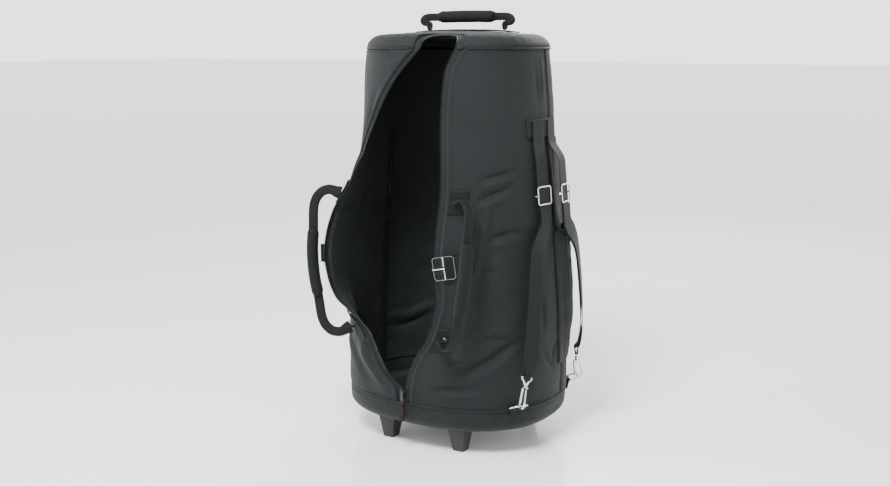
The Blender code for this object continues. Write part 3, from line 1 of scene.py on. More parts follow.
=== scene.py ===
"""Cloth, webbing, zip and metal of the open conga bag, for its picture.

Metres. All shapes are worked out about the bag's upright axis and then set at AXIS.
"""
import json
import math
from functools import lru_cache

import bmesh
import bpy
from mathutils import Matrix, Vector, noise

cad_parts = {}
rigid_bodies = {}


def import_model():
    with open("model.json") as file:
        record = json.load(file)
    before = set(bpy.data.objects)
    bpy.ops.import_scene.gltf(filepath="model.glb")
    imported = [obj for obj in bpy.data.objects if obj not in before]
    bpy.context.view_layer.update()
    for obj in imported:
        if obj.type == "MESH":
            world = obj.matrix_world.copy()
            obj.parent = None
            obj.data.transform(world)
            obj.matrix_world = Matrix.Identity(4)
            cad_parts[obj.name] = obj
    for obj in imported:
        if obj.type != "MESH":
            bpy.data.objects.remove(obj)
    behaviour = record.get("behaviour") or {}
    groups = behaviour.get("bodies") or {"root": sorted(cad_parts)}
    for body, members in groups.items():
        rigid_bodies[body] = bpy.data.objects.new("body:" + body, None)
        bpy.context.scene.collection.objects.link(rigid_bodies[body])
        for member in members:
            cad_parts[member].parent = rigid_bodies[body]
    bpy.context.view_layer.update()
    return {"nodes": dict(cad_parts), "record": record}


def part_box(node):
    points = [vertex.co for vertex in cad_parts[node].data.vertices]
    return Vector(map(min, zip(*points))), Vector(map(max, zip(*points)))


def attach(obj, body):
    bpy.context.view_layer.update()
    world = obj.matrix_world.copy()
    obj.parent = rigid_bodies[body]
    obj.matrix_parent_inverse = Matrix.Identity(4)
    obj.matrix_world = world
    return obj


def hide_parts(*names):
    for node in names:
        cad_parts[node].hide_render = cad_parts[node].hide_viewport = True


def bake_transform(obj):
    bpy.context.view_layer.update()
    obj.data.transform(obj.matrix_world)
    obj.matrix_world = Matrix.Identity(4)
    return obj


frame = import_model()

AXIS = Vector((-0.0064, 0.0232, 0.0))

# Sizes of the bag, the same as the model's
BASE_HEIGHT = 0.05
BOOT_TOP = 0.097
SIDE_HEIGHT = 0.691
RIM = BOOT_TOP + SIDE_HEIGHT
CROWN_HEIGHT = 0.034
CROWN_SQUARENESS = 2.6
CORNER_RADIUS = 0.022
WALL = 0.009
SEAM_ANGLE = 99.0
BOOT_SEAM = 50.0  # where the ends of the boot's strip are joined, in degrees from the front
CORD_RADIUS = 0.0021
BOARD_TOP = 0.0653
GAP = 0.0003  # between two pieces that lie together
SEAT = 0.0006  # between the bag and what is sewn on it
# The bag's outline: share of the height, half width, half depth, squareness
PLAN_SIZES = (
    (0.0, 0.2215, 0.184, 2.4), (0.12, 0.226, 0.188, 2.4), (0.24, 0.224, 0.191, 2.35),
    (0.35, 0.219, 0.192, 2.3), (0.46, 0.213, 0.191, 2.25), (0.57, 0.206, 0.189, 2.2),
    (0.73, 0.195, 0.183, 2.2), (0.88, 0.1885, 0.177, 2.2), (1.0, 0.182, 0.171, 2.2),
)
ZIP_CENTRE = -0.0125
ZIP_CLOSED = 0.00015  # from the zip's centre to each edge below the slider
# The zip's edges: share of the height, place across, what the cloth folds forward and aside
LEFT_EDGE = (
    (0.0, ZIP_CENTRE - ZIP_CLOSED, 0, 0), (0.014, ZIP_CENTRE - ZIP_CLOSED, 0, 0),
    (0.0215, ZIP_CENTRE - 0.0007, 0, 0), (0.038, ZIP_CENTRE - 0.0011, 0, 0), (0.055, -0.025, 0, 0),
    (0.0832, -0.05, 0, 0), (0.1375, -0.076, 0, 0), (0.182, -0.094, 0, 0),
    (0.2142, -0.116, 0.006, 0.002), (0.2431, -0.137, 0.02, 0.009), (0.2865, -0.15, 0.045, 0.022),
    (0.3589, -0.152, 0.064, 0.03), (0.424, -0.15, 0.07, 0.035), (0.4674, -0.149, 0.0685, 0.034),
    (0.5398, -0.146, 0.055, 0.03), (0.6122, -0.14, 0.029, 0.014), (0.6628, -0.134, 0.015, 0.01),
    (0.7149, -0.124, 0.004, 0.002), (0.8177, -0.084, 0, 0), (0.8915, -0.05, 0, 0),
    (0.945, -0.018, 0, 0), (1.0, 0.02, 0, 0),
)
RIGHT_EDGE = (
    (0.0, ZIP_CENTRE + ZIP_CLOSED, 0, 0), (0.014, ZIP_CENTRE + ZIP_CLOSED, 0, 0),
    (0.0215, ZIP_CENTRE + 0.0007, 0, 0), (0.038, ZIP_CENTRE + 0.0011, 0, 0), (0.1201, 0.006, 0, 0),
    (0.2069, 0.042, 0, 0), (0.3227, 0.062, 0, 0), (0.4385, 0.057, 0, 0), (0.6266, 0.066, 0, 0),
    (0.8148, 0.062, 0, 0), (0.9305, 0.066, 0, 0), (1.0, 0.084, 0, 0),
)
NOTCH_CLEARANCE = 0.001
NOTCH_DEPTH = 0.012  # of the mouth's round end behind the front of the rim
MOUTH_END_SLIT = 0.02
TAPE_WIDTH = 0.0115
ZIP_DEPTH = 0.0024
TAPE_THICKNESS = 0.001
COIL_RADIUS = 0.0014
ZIP_REACH = TAPE_WIDTH + 2 * COIL_RADIUS + GAP
TOOTH_PITCH = 0.0026
WEBBING = 0.038
WEBBING_THICKNESS = 0.0022
FOLDED_WEBBING = 0.018
FOLDED_THICKNESS = 0.0042
GRIP_RADIUS = 0.0118
ANCHOR_LENGTH = 0.045
ANCHOR_THICKNESS = 0.0026
SECTION_STEPS = 60
DEGREE = 0.0035  # cloth under one degree of the bag's plan, for the folds
SEAM_DIP = 0.0013  # of the padding where a seam holds it
SEAM_WIDTH = 0.0055
TAPE_UNDER_CLOTH = 0.0012  # of the zip's tape
BOOT_CORNER_SHARE = 0.45  # of the boot's rows that go round its lower corner
QUILT = 2 * math.pi / 0.05  # of the base board's cover, in radians to a metre
UP = Vector((0, 0, 1))
SPOT_STEP = 0.004  # between the points that give a surface's normal


def fold_table(*rows):
    """Folds in the cloth, each (its line in degrees from the front and height, depth, half width).

    A row holds the depth and the half width in mm, then a direction in degrees and a height in mm
    for each point of the line.
    """
    return [
        ([(row[i], row[i + 1] / 1000) for i in range(2, len(row), 2)], row[0] / 1000, row[1] / 1000)
        for row in rows
    ]


RIGHT_FOLDS = fold_table(
    (-8.5, 7.5, 26.9, 175, 35.8, 175, 47.8, 201, 55.6, 221, 63.8, 233),
    (6, 8, 38, 160, 50, 184, 60, 208), (-3.5, 4.5, 16.5, 185, 30, 193, 42.8, 198),
    (3, 6, 24, 204, 34, 209, 44, 216), (-4.8, 5, 40.8, 240, 50, 241, 59.6, 237),
    (3, 6, 44, 256, 53, 257, 63, 254), (-5.8, 6.5, 13, 131, 26.7, 136, 39.1, 143),
    (4, 7, 20, 120, 34, 124, 47, 129),
    (7, 7, 47.5, 507, 46.5, 476, 43.8, 414, 38.5, 337, 33.5, 257, 29.5, 197),
    (-6.2, 8, 42, 480, 39.5, 414, 34, 337, 29.5, 257, 26, 205),
    (-3, 7, 51.5, 470, 49, 414, 44, 337, 39, 262), (-4.8, 5.5, 43.4, 543, 52.5, 551, 62.8, 557),
    (4.5, 6, 45, 530, 54, 538, 62, 545), (-5.6, 5, 41.5, 503, 48.8, 514, 54.6, 523, 62.4, 529),
    (3.5, 6, 43.5, 491, 50, 500, 56, 507), (-5.6, 5.5, 47.7, 430, 53, 436, 58.3, 442, 70, 438),
    (4.6, 6, 46.3, 416, 54.3, 424, 62, 428), (-3, 2.8, 42.9, 373, 51.5, 372),
    (2.4, 7, 44, 385, 53, 388, 62, 392), (-3, 6, 56, 345, 61, 320, 66, 305),
    (-3.6, 5, 86.7, 176, 89.6, 199, 92.6, 212), (-4, 5.5, 78, 200, 83, 182, 88, 166),
    (-3.4, 6, 78.5, 323, 80.4, 282, 80, 240), (2, 16, 30, 700, 40, 660, 50, 640),
    (2.8, 6, 20.5, 740, 20.8, 600, 20.5, 450), (-3.4, 7, 84, 760, 85, 660, 84, 600),
    (3, 6, 92, 770, 91, 700, 92.5, 640),
)
LEFT_FOLDS = fold_table(
    (-4.2, 4, -27.5, 788, -19.6, 780, -12.5, 771), (2.6, 8, -24, 770, -14, 755, -7, 748),
    (4.2, 7, -22, 690, -32, 640, -42, 600, -46, 560), (-4, 10, -30, 700, -40, 650, -50, 600),
    (8.5, 8.5, -40.5, 262, -31, 240, -25.1, 190), (-6, 8, -47, 245, -38, 222, -30, 185),
    (9, 11, -52, 250, -40, 205, -28, 158, -18, 120), (-7, 12, -58, 205, -44, 164, -31, 130),
    (-5, 8, -40, 232, -31, 196, -22, 152), (-5, 10, -62, 300, -58, 250, -50, 200),
    (4.5, 11, -70, 260, -64, 210, -56, 170), (-4, 12, -66, 540, -60, 480, -62, 420),
    (3.6, 14, -78, 620, -74, 540, -76, 460),
)
BACK_FOLDS = fold_table(
    (-4, 7, 112, 140, 125, 150, 140, 145), (-3.8, 8, 150, 190, 170, 176, 190, 182),
    (3, 8, 160, 160, 180, 150, 200, 158), (-5, 9, 225, 220, 240, 196, 256, 200),
    (4, 9, 228, 195, 244, 172, 258, 176), (1.8, 12, 140, 700, 160, 690, 176, 700),
    (-2.8, 10, 205, 480, 222, 470, 240, 486),
)

COLLECTION = bpy.data.collections.new("dressed_bag")
bpy.context.scene.collection.children.link(COLLECTION)


# The bag's form
def table_value(table, share):
    """The table's columns at a share of the height, joined by a smooth monotone curve."""
    share = min(max(share, table[0][0]), table[-1][0])
    i = 0
    while i < len(table) - 2 and share > table[i + 1][0]:
        i += 1
    low, high = table[i], table[i + 1]
    step = high[0] - low[0]
    t = (share - low[0]) / step
    before = table[i - 1] if i > 0 else low
    after = table[i + 2] if i + 2 < len(table) else high
    values = []
    for k in range(1, len(low)):
        slope = (high[k] - low[k]) / step
        slope_in = slope if before is low else (low[k] - before[k]) / (low[0] - before[0])
        slope_out = slope if after is high else (after[k] - high[k]) / (after[0] - high[0])
        tangent_in = 0.0 if slope_in * slope <= 0 else 2 * slope_in * slope / (slope_in + slope)
        tangent_out = 0.0 if slope_out * slope <= 0 else 2 * slope_out * slope / (slope_out + slope)
        values.append(
            low[k] * (2 * t ** 3 - 3 * t * t + 1) + high[k] * (3 * t * t - 2 * t ** 3)
            + step * (tangent_in * (t ** 3 - 2 * t * t + t) + tangent_out * (t ** 3 - t * t))
        )
    return values


@lru_cache(maxsize=None)
def plan_size(height):
    return tuple(table_value(PLAN_SIZES, (height - BASE_HEIGHT) / (RIM - BASE_HEIGHT)))


def plan_point(angle, size, inset=0.0):
    """A point of the bag's outline. The angle is in degrees from the front, positive to +X."""
    half_width, half_depth, squareness = size
    turn = math.radians(angle)
    sine, cosine = math.sin(turn), math.cos(turn)
    x = (half_width - inset) * math.copysign(abs(sine) ** (2 / squareness), sine)
    y = -(half_depth - inset) * math.copysign(abs(cosine) ** (2 / squareness), cosine)
    return Vector((x, y))


def plan_direction(direction, size):
    """The outline's parameter angle whose point lies in a true direction from the axis."""
    half_width, half_depth, squareness = size
    turn = math.radians(direction)
    x, y = math.sin(turn), math.cos(turn)
    reach = (abs(x / half_width) ** squareness + abs(y / half_depth) ** squareness)
    reach = reach ** (-1 / squareness)
    sine = math.copysign(abs(x * reach / half_width) ** (squareness / 2), x)
    cosine = math.copysign(abs(y * reach / half_depth) ** (squareness / 2), y)
    return math.degrees(math.atan2(sine, cosine))


def wall(direction, height, standoff=0.0):
    """A point on the bag in a direction from its axis, the standoff outside it."""
    size = plan_size(height)
    here = plan_point(plan_direction(direction, size), size)
    near = plan_point(plan_direction(direction + 0.5, size), size)
    along = (near - here).normalized()
    place = here + Vector((along.y, -along.x)) * standoff
    return Vector((place.x, place.y, height))


def wall_frame(direction, height, standoff=0.0):
    """The point, outward and sideways directions on the bag."""
    point = wall(direction, height, standoff)
    outward = (wall(direction, height, standoff + 0.01) - point).normalized()
    return point, outward, Vector((0, 0, 1)).cross(outward)


def zip_edge(side, height):
    table = RIGHT_EDGE if side > 0 else LEFT_EDGE
    return table_value(table, (height - BOOT_TOP) / SIDE_HEIGHT)


@lru_cache(maxsize=None)
def side_section(side, height):
    """Points, lengths and directions of a side, from its upright seam to the zip's free edge."""
    size = plan_size(height)
    edge_x, forward, aside = zip_edge(side, height)
    end = math.degrees(
        math.asin(math.copysign(min(1.0, abs(edge_x) / size[0]) ** (size[2] / 2), edge_x))
    )
    start = plan_direction(side * SEAM_ANGLE, size)
    points, directions = [], []
    for i in range(SECTION_STEPS + 1):
        angle = start + (end - start) * i / SECTION_STEPS
        point = plan_point(angle, size)
        directions.append(math.degrees(math.atan2(point.x, -point.y)))
        opened = max(0.0, (90 - abs(angle)) / (90 - abs(end))) ** 2
        point += Vector((side * aside, -forward)) * opened
        points.append(Vector((point.x, point.y, height)))
    totals = [0.0]
    for a, b in zip(points, points[1:]):
        totals.append(totals[-1] + (b - a).length)
    return points, totals, directions


def on_side(side, height, from_edge):
    """A point at a distance from the zip's free edge, the outward way, the way to the edge, and
    the plan's direction there."""
    points, totals, directions = side_section(side, height)
    distance = totals[-1] - from_edge
    i = 0
    while i < len(points) - 2 and totals[i + 1] < distance:
        i += 1
    step = points[i + 1] - points[i]
    t = (distance - totals[i]) / (totals[i + 1] - totals[i])
    before = points[i] - points[max(i - 1, 0)]
    after = points[min(i + 2, len(points) - 1)] - points[i + 1]
    to_edge = (before * (1 - t) + step + after * t).normalized()
    outward = Vector((to_edge.y, -to_edge.x, 0)) * -side
    direction = directions[i] + (directions[i + 1] - directions[i]) * t
    return points[i] + step * t, outward, to_edge, direction


def crown_height(x, y, inset=0.0):
    """Height of the top's surface over a point, or of a surface that much inside it."""
    half_width, half_depth, squareness = plan_size(RIM)
    share = abs(x / (half_width - inset)) ** squareness
    share += abs(y / (half_depth - inset)) ** squareness
    share = min(1.0, share ** (1 / squareness))
    rise = (1 - share ** CROWN_SQUARENESS) ** (1 / CROWN_SQUARENESS)
    return RIM + (CROWN_HEIGHT - inset) * rise


def mouth_centre():
    """Centre and radius of the round end of the mouth, where the cloth of the top is cut."""
    left = zip_edge(-1, RIM)[0]
    right = zip_edge(1, RIM)[0]
    size = plan_size(RIM)
    x = (left + right) / 2
    front = size[1] * (1 - abs(x / size[0]) ** size[2]) ** (1 / size[2])
    return Vector((x, NOTCH_DEPTH - front)), (right - left) / 2 + ZIP_REACH


# Folds and wrinkles
def smooth_step(value, low, high):
    t = min(max((value - low) / (high - low), 0.0), 1.0)
    return t * t * (3 - 2 * t)


def fold_depth(folds, direction, height):
    """What the folds add to the cloth at a place. Each fades out at its two ends."""
    total = 0.0
    for line, depth, width in folds:
        best, share = 1.0, 0.0
        for i in range(len(line) - 1):
            ax, ay = (line[i][0] - direction) * DEGREE, line[i][1] - height
            bx, by = (line[i + 1][0] - direction) * DEGREE, line[i + 1][1] - height
            dx, dy = bx - ax, by - ay
            t = min(max(-(ax * dx + ay * dy) / (dx * dx + dy * dy), 0.0), 1.0)
            away = math.hypot(ax + dx * t, ay + dy * t)
            if away < best:
                best, share = away, (i + t) / (len(line) - 1)
        if best < 3 * width:
            swell = 0.25 + 0.75 * math.sin(math.pi * share)
            total += depth * math.exp(-(best / width) ** 2) * swell
    return total


def quiet_places():
    """Where something is sewn on, so that the cloth lies still: centre, inner and outer radius."""
    nodes = (
        "left_handle_base_low", "left_handle_base_high", "right_handle_base_low",
        "right_handle_base_high", "buckle_frame", "front_ring_tab", "rear_ring_tab", "strap_band",
        "closing_strap_end", "zip_slider",
    )
    places = []
    for node in nodes:
        low, high = Vector(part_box(node)[0]), Vector(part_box(node)[1])
        radius = (high - low).length / 2
        places.append(((low + high) / 2 - AXIS, radius * 0.75, radius * 1.35))
    return places


QUIET = quiet_places()


def stillness(point):
    share = 1.0
    for centre, inner, outer in QUIET:
        away = (point - centre).length
        if away < outer:
            share = min(share, smooth_step(away, inner, outer))
    return share


def relief(point, direction, height, folds):
    """How far the worn cloth stands off the bag's plain form."""
    wide = noise.noise(point * 7.0) * 0.003
    pulled = noise.noise(Vector((point.x * 16, point.y * 16, point.z * 30)) + Vector((7, 3, 1)))
    creased = noise.noise(Vector((point.x * 34, point.y * 34, point.z * 60)) + Vector((2, 9, 4)))
    slack = 0.35 + 0.65 * smooth_step(height, 0.62, 0.3)
    total = wide + (pulled * 0.0018 + (0.45 - abs(creased)) * 0.001) * slack
    total = (total + 1.05 * fold_depth(folds, direction, height)) * (0.12 + 0.88 * stillness(point))
    side_away = min(abs(direction - seam) for seam in (SEAM_ANGLE, -SEAM_ANGLE, 360 - SEAM_ANGLE))
    rim_dip, boot_dip, side_dip = (
        math.exp(-(away / SEAM_WIDTH) ** 2)
        for away in (height - RIM, height - BOOT_TOP, side_away * DEGREE)
    )
    held = 1 - 0.8 * max(rim_dip, boot_dip, side_dip)
    return total * held - SEAM_DIP * max(rim_dip, 0.5 * boot_dip, side_dip)


def side_relief(side, height, from_edge, point, direction):
    folds = RIGHT_FOLDS if side > 0 else LEFT_FOLDS
    near_zip = smooth_step(from_edge, ZIP_REACH, ZIP_REACH + 0.02)
    roll = 0.0016 * math.exp(-((from_edge - ZIP_REACH - 0.006) / 0.005) ** 2)
    return relief(point, direction, height, folds) * near_zip + roll - 0.0006 * (1 - near_zip)


def side_skin(side, height, from_edge, standoff=0.0):
    """A point on the worn cloth of a side and the way out of it."""
    point, outward, _, direction = on_side(side, height, from_edge)
    rise = side_relief(side, height, from_edge, point, direction) + standoff
    return point + outward * rise, outward


def spot_of(place, a, b, step_a=SPOT_STEP):
    """A point of a surface and its normal. place gives the surface by two numbers."""
    here = place(a, b)
    return here, (place(a + step_a, b) - here).cross(place(a, b + SPOT_STEP) - here).normalized()


def side_spot(side, height, from_edge):
    """The worn cloth's point and its normal on a side."""
    here, normal = spot_of(lambda e, h: side_skin(side, h, e)[0], from_edge, height)
    return here, normal * side


def around_skin(direction, height, standoff=0.0):
    """A point on the worn cloth by its direction, for the closed parts of the bag."""
    turned = direction % 360
    if turned <= SEAM_ANGLE:
        folds = RIGHT_FOLDS
    elif turned < 360 - SEAM_ANGLE:
        folds = BACK_FOLDS
    else:
        folds = LEFT_FOLDS
        turned -= 360
    rise = relief(wall(direction, height), turned, height, folds)
    return wall(direction, height, rise + standoff)


def around_spot(direction, height):
    return spot_of(around_skin, direction, height, 1.0)


def crown_relief(x, y):
    point = Vector((x, y, RIM))
    wide = noise.noise(point * 9.0) * 0.0022 + noise.noise(point * 26.0) * 0.0007
    size = plan_size(RIM)
    edge = 1 - (abs(x / size[0]) ** size[2] + abs(y / size[1]) ** size[2]) ** (1 / size[2])
    wide += 0.005 * math.exp(-((edge - 0.13) / 0.12) ** 2)
    under_handle = smooth_step(abs(y - TOP_HANDLE_Y), 0.02, 0.045) if abs(x) < 0.125 else 1.0
    turn = math.atan2(y, x)
    puckers = 0.0009 * math.sin(turn * 46 + 3 * noise.noise(point * 12)) * math.exp(-edge / 0.1)
    still = 0.15 + 0.85 * under_handle
    return wide * smooth_step(edge, 0.0, 0.1) * still + puckers * smooth_step(edge, 0.004, 0.05)


def crown_spot(x, y):
    return spot_of(
        lambda px, py: Vector((px, py, crown_height(px, py) + crown_relief(px, py))), x, y
    )


# Making pieces
def grid(columns, rows, place, size=(1.0, 1.0), join=False):
    """A sheet of columns by rows. place(u, v) sets each corner; its UV map is in metres."""
    shape = bmesh.new()
    bmesh.ops.create_grid(shape, x_segments=columns, y_segments=rows, size=0.5)
    layer = shape.loops.layers.uv.new("cloth")
    for face in shape.faces:
        for loop in face.loops:
            corner = loop.vert.co
            loop[layer].uv = ((corner.x + 0.5) * size[0], (corner.y + 0.5) * size[1])
    for vert in shape.verts:
        u = round((vert.co.x + 0.5) * columns) / columns
        v = round((vert.co.y + 0.5) * rows) / rows
        vert.co = place(u, v)
    if join:
        bmesh.ops.remove_doubles(shape, verts=shape.verts, dist=0.00001)
    return shape


def piece(name, shape, look, body, nodes=(), lining=None, smooth=50.0):
    """An object from a bmesh about the bag's axis. It rides on a body and stands for nodes.
    """
    mesh = bpy.data.meshes.new(name)
    shape.to_mesh(mesh)
    shape.free()
    mesh.transform(Matrix.Translation(AXIS))
    mesh.materials.append(look[0])
    if lining is not None:
        mesh.materials.append(lining[0])
    mesh.shade_smooth()
    mesh.set_sharp_from_angle(angle=math.radians(smooth))
    thing = bpy.data.objects.new(name, mesh)
    COLLECTION.objects.link(thing)
    if body:
        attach(thing, body)
    if nodes:
        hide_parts(*nodes)
    return thing


def uv_from_above(shape):
    """A UV map in metres, seen from above."""
    layer = shape.loops.layers.uv["cloth"]
    for face in shape.faces:
        for loop in face.loops:
            loop[layer].uv = loop.vert.co.xy


def thicken(thing, thickness, offset=-1.0, lined=False, group=None):
    """Gives a sheet its thickness. A group makes it thinner where its weights are low."""
    shell = thing.modifiers.new("thickness", "SOLIDIFY")
    shell.thickness = thickness
    shell.offset = offset
    if lined:
        shell.material_offset = 1
    if group is not None:
        shell.vertex_group = group
        shell.thickness_vertex_group = 0.0


def directions_along(points, closed=False):
    """The way along a line at each of its points."""
    last = len(points) - 1
    ways = []
    for i in range(last + 1):
        before = points[i - 1] if closed or i > 0 else points[0]
        after = points[(i + 1) % (last + 1)] if closed else points[min(i + 1, last)]
        ways.append((after - before).normalized())
    return ways


def length_of(points):
    return sum((b - a).length for a, b in zip(points, points[1:]))


def between(low, high, steps):
    """Numbers from low to high, with steps spaces between them."""
    return [low + (high - low) * i / steps for i in range(steps + 1)]


def each(value, count):
    """A list of values, from such a list or from one value for all."""
    return list(value) if isinstance(value, (list, tuple)) else [value] * count


def sweep(points, across, half_widths, half_depths, sides=16, square=2.0, closed=False):
    """A bar or band along points. across gives the way of its width."""
    count = len(points)
    half_widths, half_depths = each(half_widths, count), each(half_depths, count)
    frames = []
    for way, side in zip(directions_along(points, closed), each(across, count)):
        side = (side - way * side.dot(way)).normalized()
        frames.append((side, way.cross(side)))
    rows = count if closed else count - 1

    def place(u, v):
        i = round(v * rows) % count
        turn = 2 * math.pi * u
        x, y = (math.copysign(abs(s) ** (2 / square), s) for s in (math.cos(turn), math.sin(turn)))
        return points[i] + frames[i][0] * x * half_widths[i] + frames[i][1] * y * half_depths[i]

    around = 4 * (half_widths[0] + half_depths[0])
    shape = grid(sides, rows, place, (around, length_of(points)), join=True)
    if not closed:
        bmesh.ops.holes_fill(shape, edges=[e for e in shape.edges if e.is_boundary], sides=0)
    return shape


def rod(points, across, radius, sides=14, closed=False):
    """A round bar along points."""
    return sweep(points, across, radius, radius, sides, closed=closed)


def arc(centre, first, second, radius, start, turn, steps):
    """Points of an arc in degrees, from the first way to the second."""
    angles = [math.radians(start + turn * i / steps) for i in range(steps + 1)]
    return [centre + (first * math.cos(a) + second * math.sin(a)) * radius for a in angles]


def curve(a, b, c, d, t):
    """A point of the smooth curve from b to c, with a before it and d after it."""
    return 0.5 * (
        2 * b + (c - a) * t + (2 * a - 5 * b + 4 * c - d) * t * t + (3 * b - a - 3 * c + d) * t ** 3
    )


def smooth_line(points, steps):
    """A smooth curve through points, with steps pieces between two of them."""
    ends = [points[0] * 2 - points[1], *points, points[-1] * 2 - points[-2]]
    line = [points[0].copy()]
    for four in zip(ends, ends[1:], ends[2:], ends[3:]):
        line += [curve(*four, i / steps) for i in range(1, steps + 1)]
    return line


def smooth_loop(points, steps):
    """The same for a closed line."""
    ends = [points[-1], *points, *points[:2]]
    line = []
    for four in zip(ends, ends[1:], ends[2:], ends[3:]):
        line += [curve(*four, i / steps) for i in range(steps)]
    return line


def stretch(values, steps):
    """Numbers for a line that smooth_line has made finer."""
    fine = [values[0]]
    for a, b in zip(values, values[1:]):
        fine += between(a, b, steps)[1:]
    return fine


def spaced(points, pitch):
    """Points a pitch apart along a line, each with the way along it there."""
    total = length_of(points)
    count = max(2, round(total / pitch))
    spots, run, i = [], 0.0, 0
    for k in range(count):
        goal = total * (k + 0.5) / count
        while i < len(points) - 2 and run + (points[i + 1] - points[i]).length < goal:
            run += (points[i + 1] - points[i]).length
            i += 1
        step = points[i + 1] - points[i]
        spots.append((points[i] + step * ((goal - run) / step.length), step.normalized()))
    return spots


def merge(shapes):
    """One bmesh of several."""
    whole = bmesh.new()
    whole.loops.layers.uv.new("cloth")
    for shape in shapes:
        mesh = bpy.data.meshes.new("part")
        shape.to_mesh(mesh)
        shape.free()
        whole.from_mesh(mesh)
        bpy.data.meshes.remove(mesh)
    return whole


def stitches(name, lines, body, pitch=0.0042, length=0.003, radius=0.00038):
    """Rows of thread. Each line is a list of points just over the cloth."""
    shape = bmesh.new()
    size = Matrix.Diagonal((radius, radius, length / 2, 1.0))
    for line in lines:
        for spot, way in spaced(line, pitch):
            turn = way.to_track_quat("Z", "Y").to_matrix().to_4x4()
            bmesh.ops.create_icosphere(
                shape, subdivisions=1, radius=1.0, matrix=Matrix.Translation(spot) @ turn @ size
            )
    piece(name, shape, THREAD, body)


def patch(name, rows_of_spots, thickness, look, nodes, seat=SEAT):
    """A cloth patch on the bag, from a grid of (point, normal)."""
    rows = [[point + normal * seat for point, normal in row] for row in rows_of_spots]
    sense = (rows[0][1] - rows[0][0]).cross(rows[1][0] - rows[0][0])
    if sense.dot(rows_of_spots[0][0][1]) < 0:
        rows = [row[::-1] for row in rows]
    columns, count = len(rows[0]) - 1, len(rows) - 1
    size = (length_of(rows[0]), length_of([row[0] for row in rows]))
    shape = grid(columns, count, lambda u, v: rows[round(v * count)][round(u * columns)], size)
    thing = piece(name, shape, look, "bag", nodes)
    thicken(thing, thickness, 1.0)
    return thing


# Finishes
def link(tree, out, into):
    tree.links.new(out, into)


def add(tree, kind, **settings):
    """A new node. The settings are values of its sockets or its own properties."""
    node = tree.nodes.new(kind)
    for key, value in settings.items():
        if key in node.inputs:
            node.inputs[key].default_value = value
        else:
            setattr(node, key, value)
    return node


def maths(tree, operation, *values):
    """A sum of values, each a number or another node's socket."""
    node = add(tree, "ShaderNodeMath", operation=operation)
    for slot, value in zip(node.inputs, values):
        if isinstance(value, (int, float)):
            slot.default_value = value
        else:
            link(tree, value, slot)
    return node.outputs[0]


def group_start(name, vector, value, outputs):
    """A node group with a vector and a value going in, and values coming out."""
    tree = bpy.data.node_groups.new(name, "ShaderNodeTree")
    tree.interface.new_socket(vector, in_out="INPUT", socket_type="NodeSocketVector")
    tree.interface.new_socket(value, in_out="INPUT", socket_type="NodeSocketFloat")
    for label in outputs:
        tree.interface.new_socket(label, in_out="OUTPUT", socket_type="NodeSocketFloat")
    given = tree.nodes.new("NodeGroupInput").outputs
    return tree, given[0], given[1], tree.nodes.new("NodeGroupOutput").inputs


def make_pattern(name, label, height_of, contrast, least):
    """A woven pattern's height and painted shade, from the UV map and the threads to a metre: the
    colour is darker in the hollows between threads, where they shade each other.
    """
    tree, cloth, threads, out = group_start(name, "Cloth", label, ("Height", "Shade"))
    split = tree.nodes.new("ShaderNodeSeparateXYZ")
    link(tree, cloth, split.inputs[0])
    turns = maths(tree, "MULTIPLY", threads, math.pi)
    x, y = (maths(tree, "MULTIPLY", split.outputs[i], turns) for i in (0, 1))
    height = height_of(tree, x, y)
    link(tree, height, out["Height"])
    # painted shade: the colour is darker where the pattern is low, between the threads
    link(tree, maths(tree, "MULTIPLY_ADD", height, contrast, least), out["Shade"])
    return tree


def weave_height(tree, x, y):
    """Plain weave: threads that pass over and under each other."""
    x, y = maths(tree, "SINE", x), maths(tree, "SINE", y)
    over = maths(tree, "MULTIPLY_ADD", maths(tree, "MULTIPLY", x, y), 0.5, 0.5)
    warp = maths(tree, "MULTIPLY", maths(tree, "ABSOLUTE", x), over)
    under = maths(tree, "SUBTRACT", 1.0, over)
    return maths(tree, "ADD", warp, maths(tree, "MULTIPLY", maths(tree, "ABSOLUTE", y), under))


def rib_height(tree, x, y):
    """The rows of webbing: ribs across its length with twill between them."""
    slant = maths(tree, "ADD", maths(tree, "MULTIPLY", x, 2.0), y)
    rows, twill = (maths(tree, "ABSOLUTE", maths(tree, "SINE", way)) for way in (x, slant))
    return maths(
        tree, "ADD", maths(tree, "MULTIPLY", rows, 0.6), maths(tree, "MULTIPLY", twill, 0.4)
    )


def make_use_marks():
    """Uneven fading and a little dust, from the place on the object."""
    tree, place, size, out = group_start("use_marks", "Place", "Size", ("Shade", "Grain"))
    broad = add(tree, "ShaderNodeTexNoise", Detail=4.0, Roughness=0.55)
    fine = add(tree, "ShaderNodeTexNoise", Detail=3.0, Roughness=0.6)
    for node, scale in ((broad, size), (fine, maths(tree, "MULTIPLY", size, 22.0))):
        link(tree, place, node.inputs["Vector"])
        link(tree, scale, node.inputs["Scale"])
    link(tree, maths(tree, "MULTIPLY_ADD", broad.outputs[0], 0.55, 0.72), out["Shade"])
    link(tree, fine.outputs[0], out["Grain"])
    return tree


# Patterns for cloth and webbing; their Shade output is painted shade in the hollows between threads
WEAVE = make_pattern("plain_weave", "Threads", weave_height, 0.3, 0.8)
RIBS = make_pattern("webbing_ribs", "Ribs", rib_height, 0.45, 0.7)
USE_MARKS = make_use_marks()


def look_start(name, size):
    """A material with marks of use of a size: it, its tree and the marks' shade and grain."""
    made = bpy.data.materials.new(name)
    made.use_nodes = True
    tree = made.node_tree
    marks = add(tree, "ShaderNodeGroup", node_tree=USE_MARKS)
    marks.inputs["Size"].default_value = size
    link(tree, tree.nodes.new("ShaderNodeTexCoord").outputs["Object"], marks.inputs["Place"])
    return made, tree, marks.outputs["Shade"], marks.outputs["Grain"]


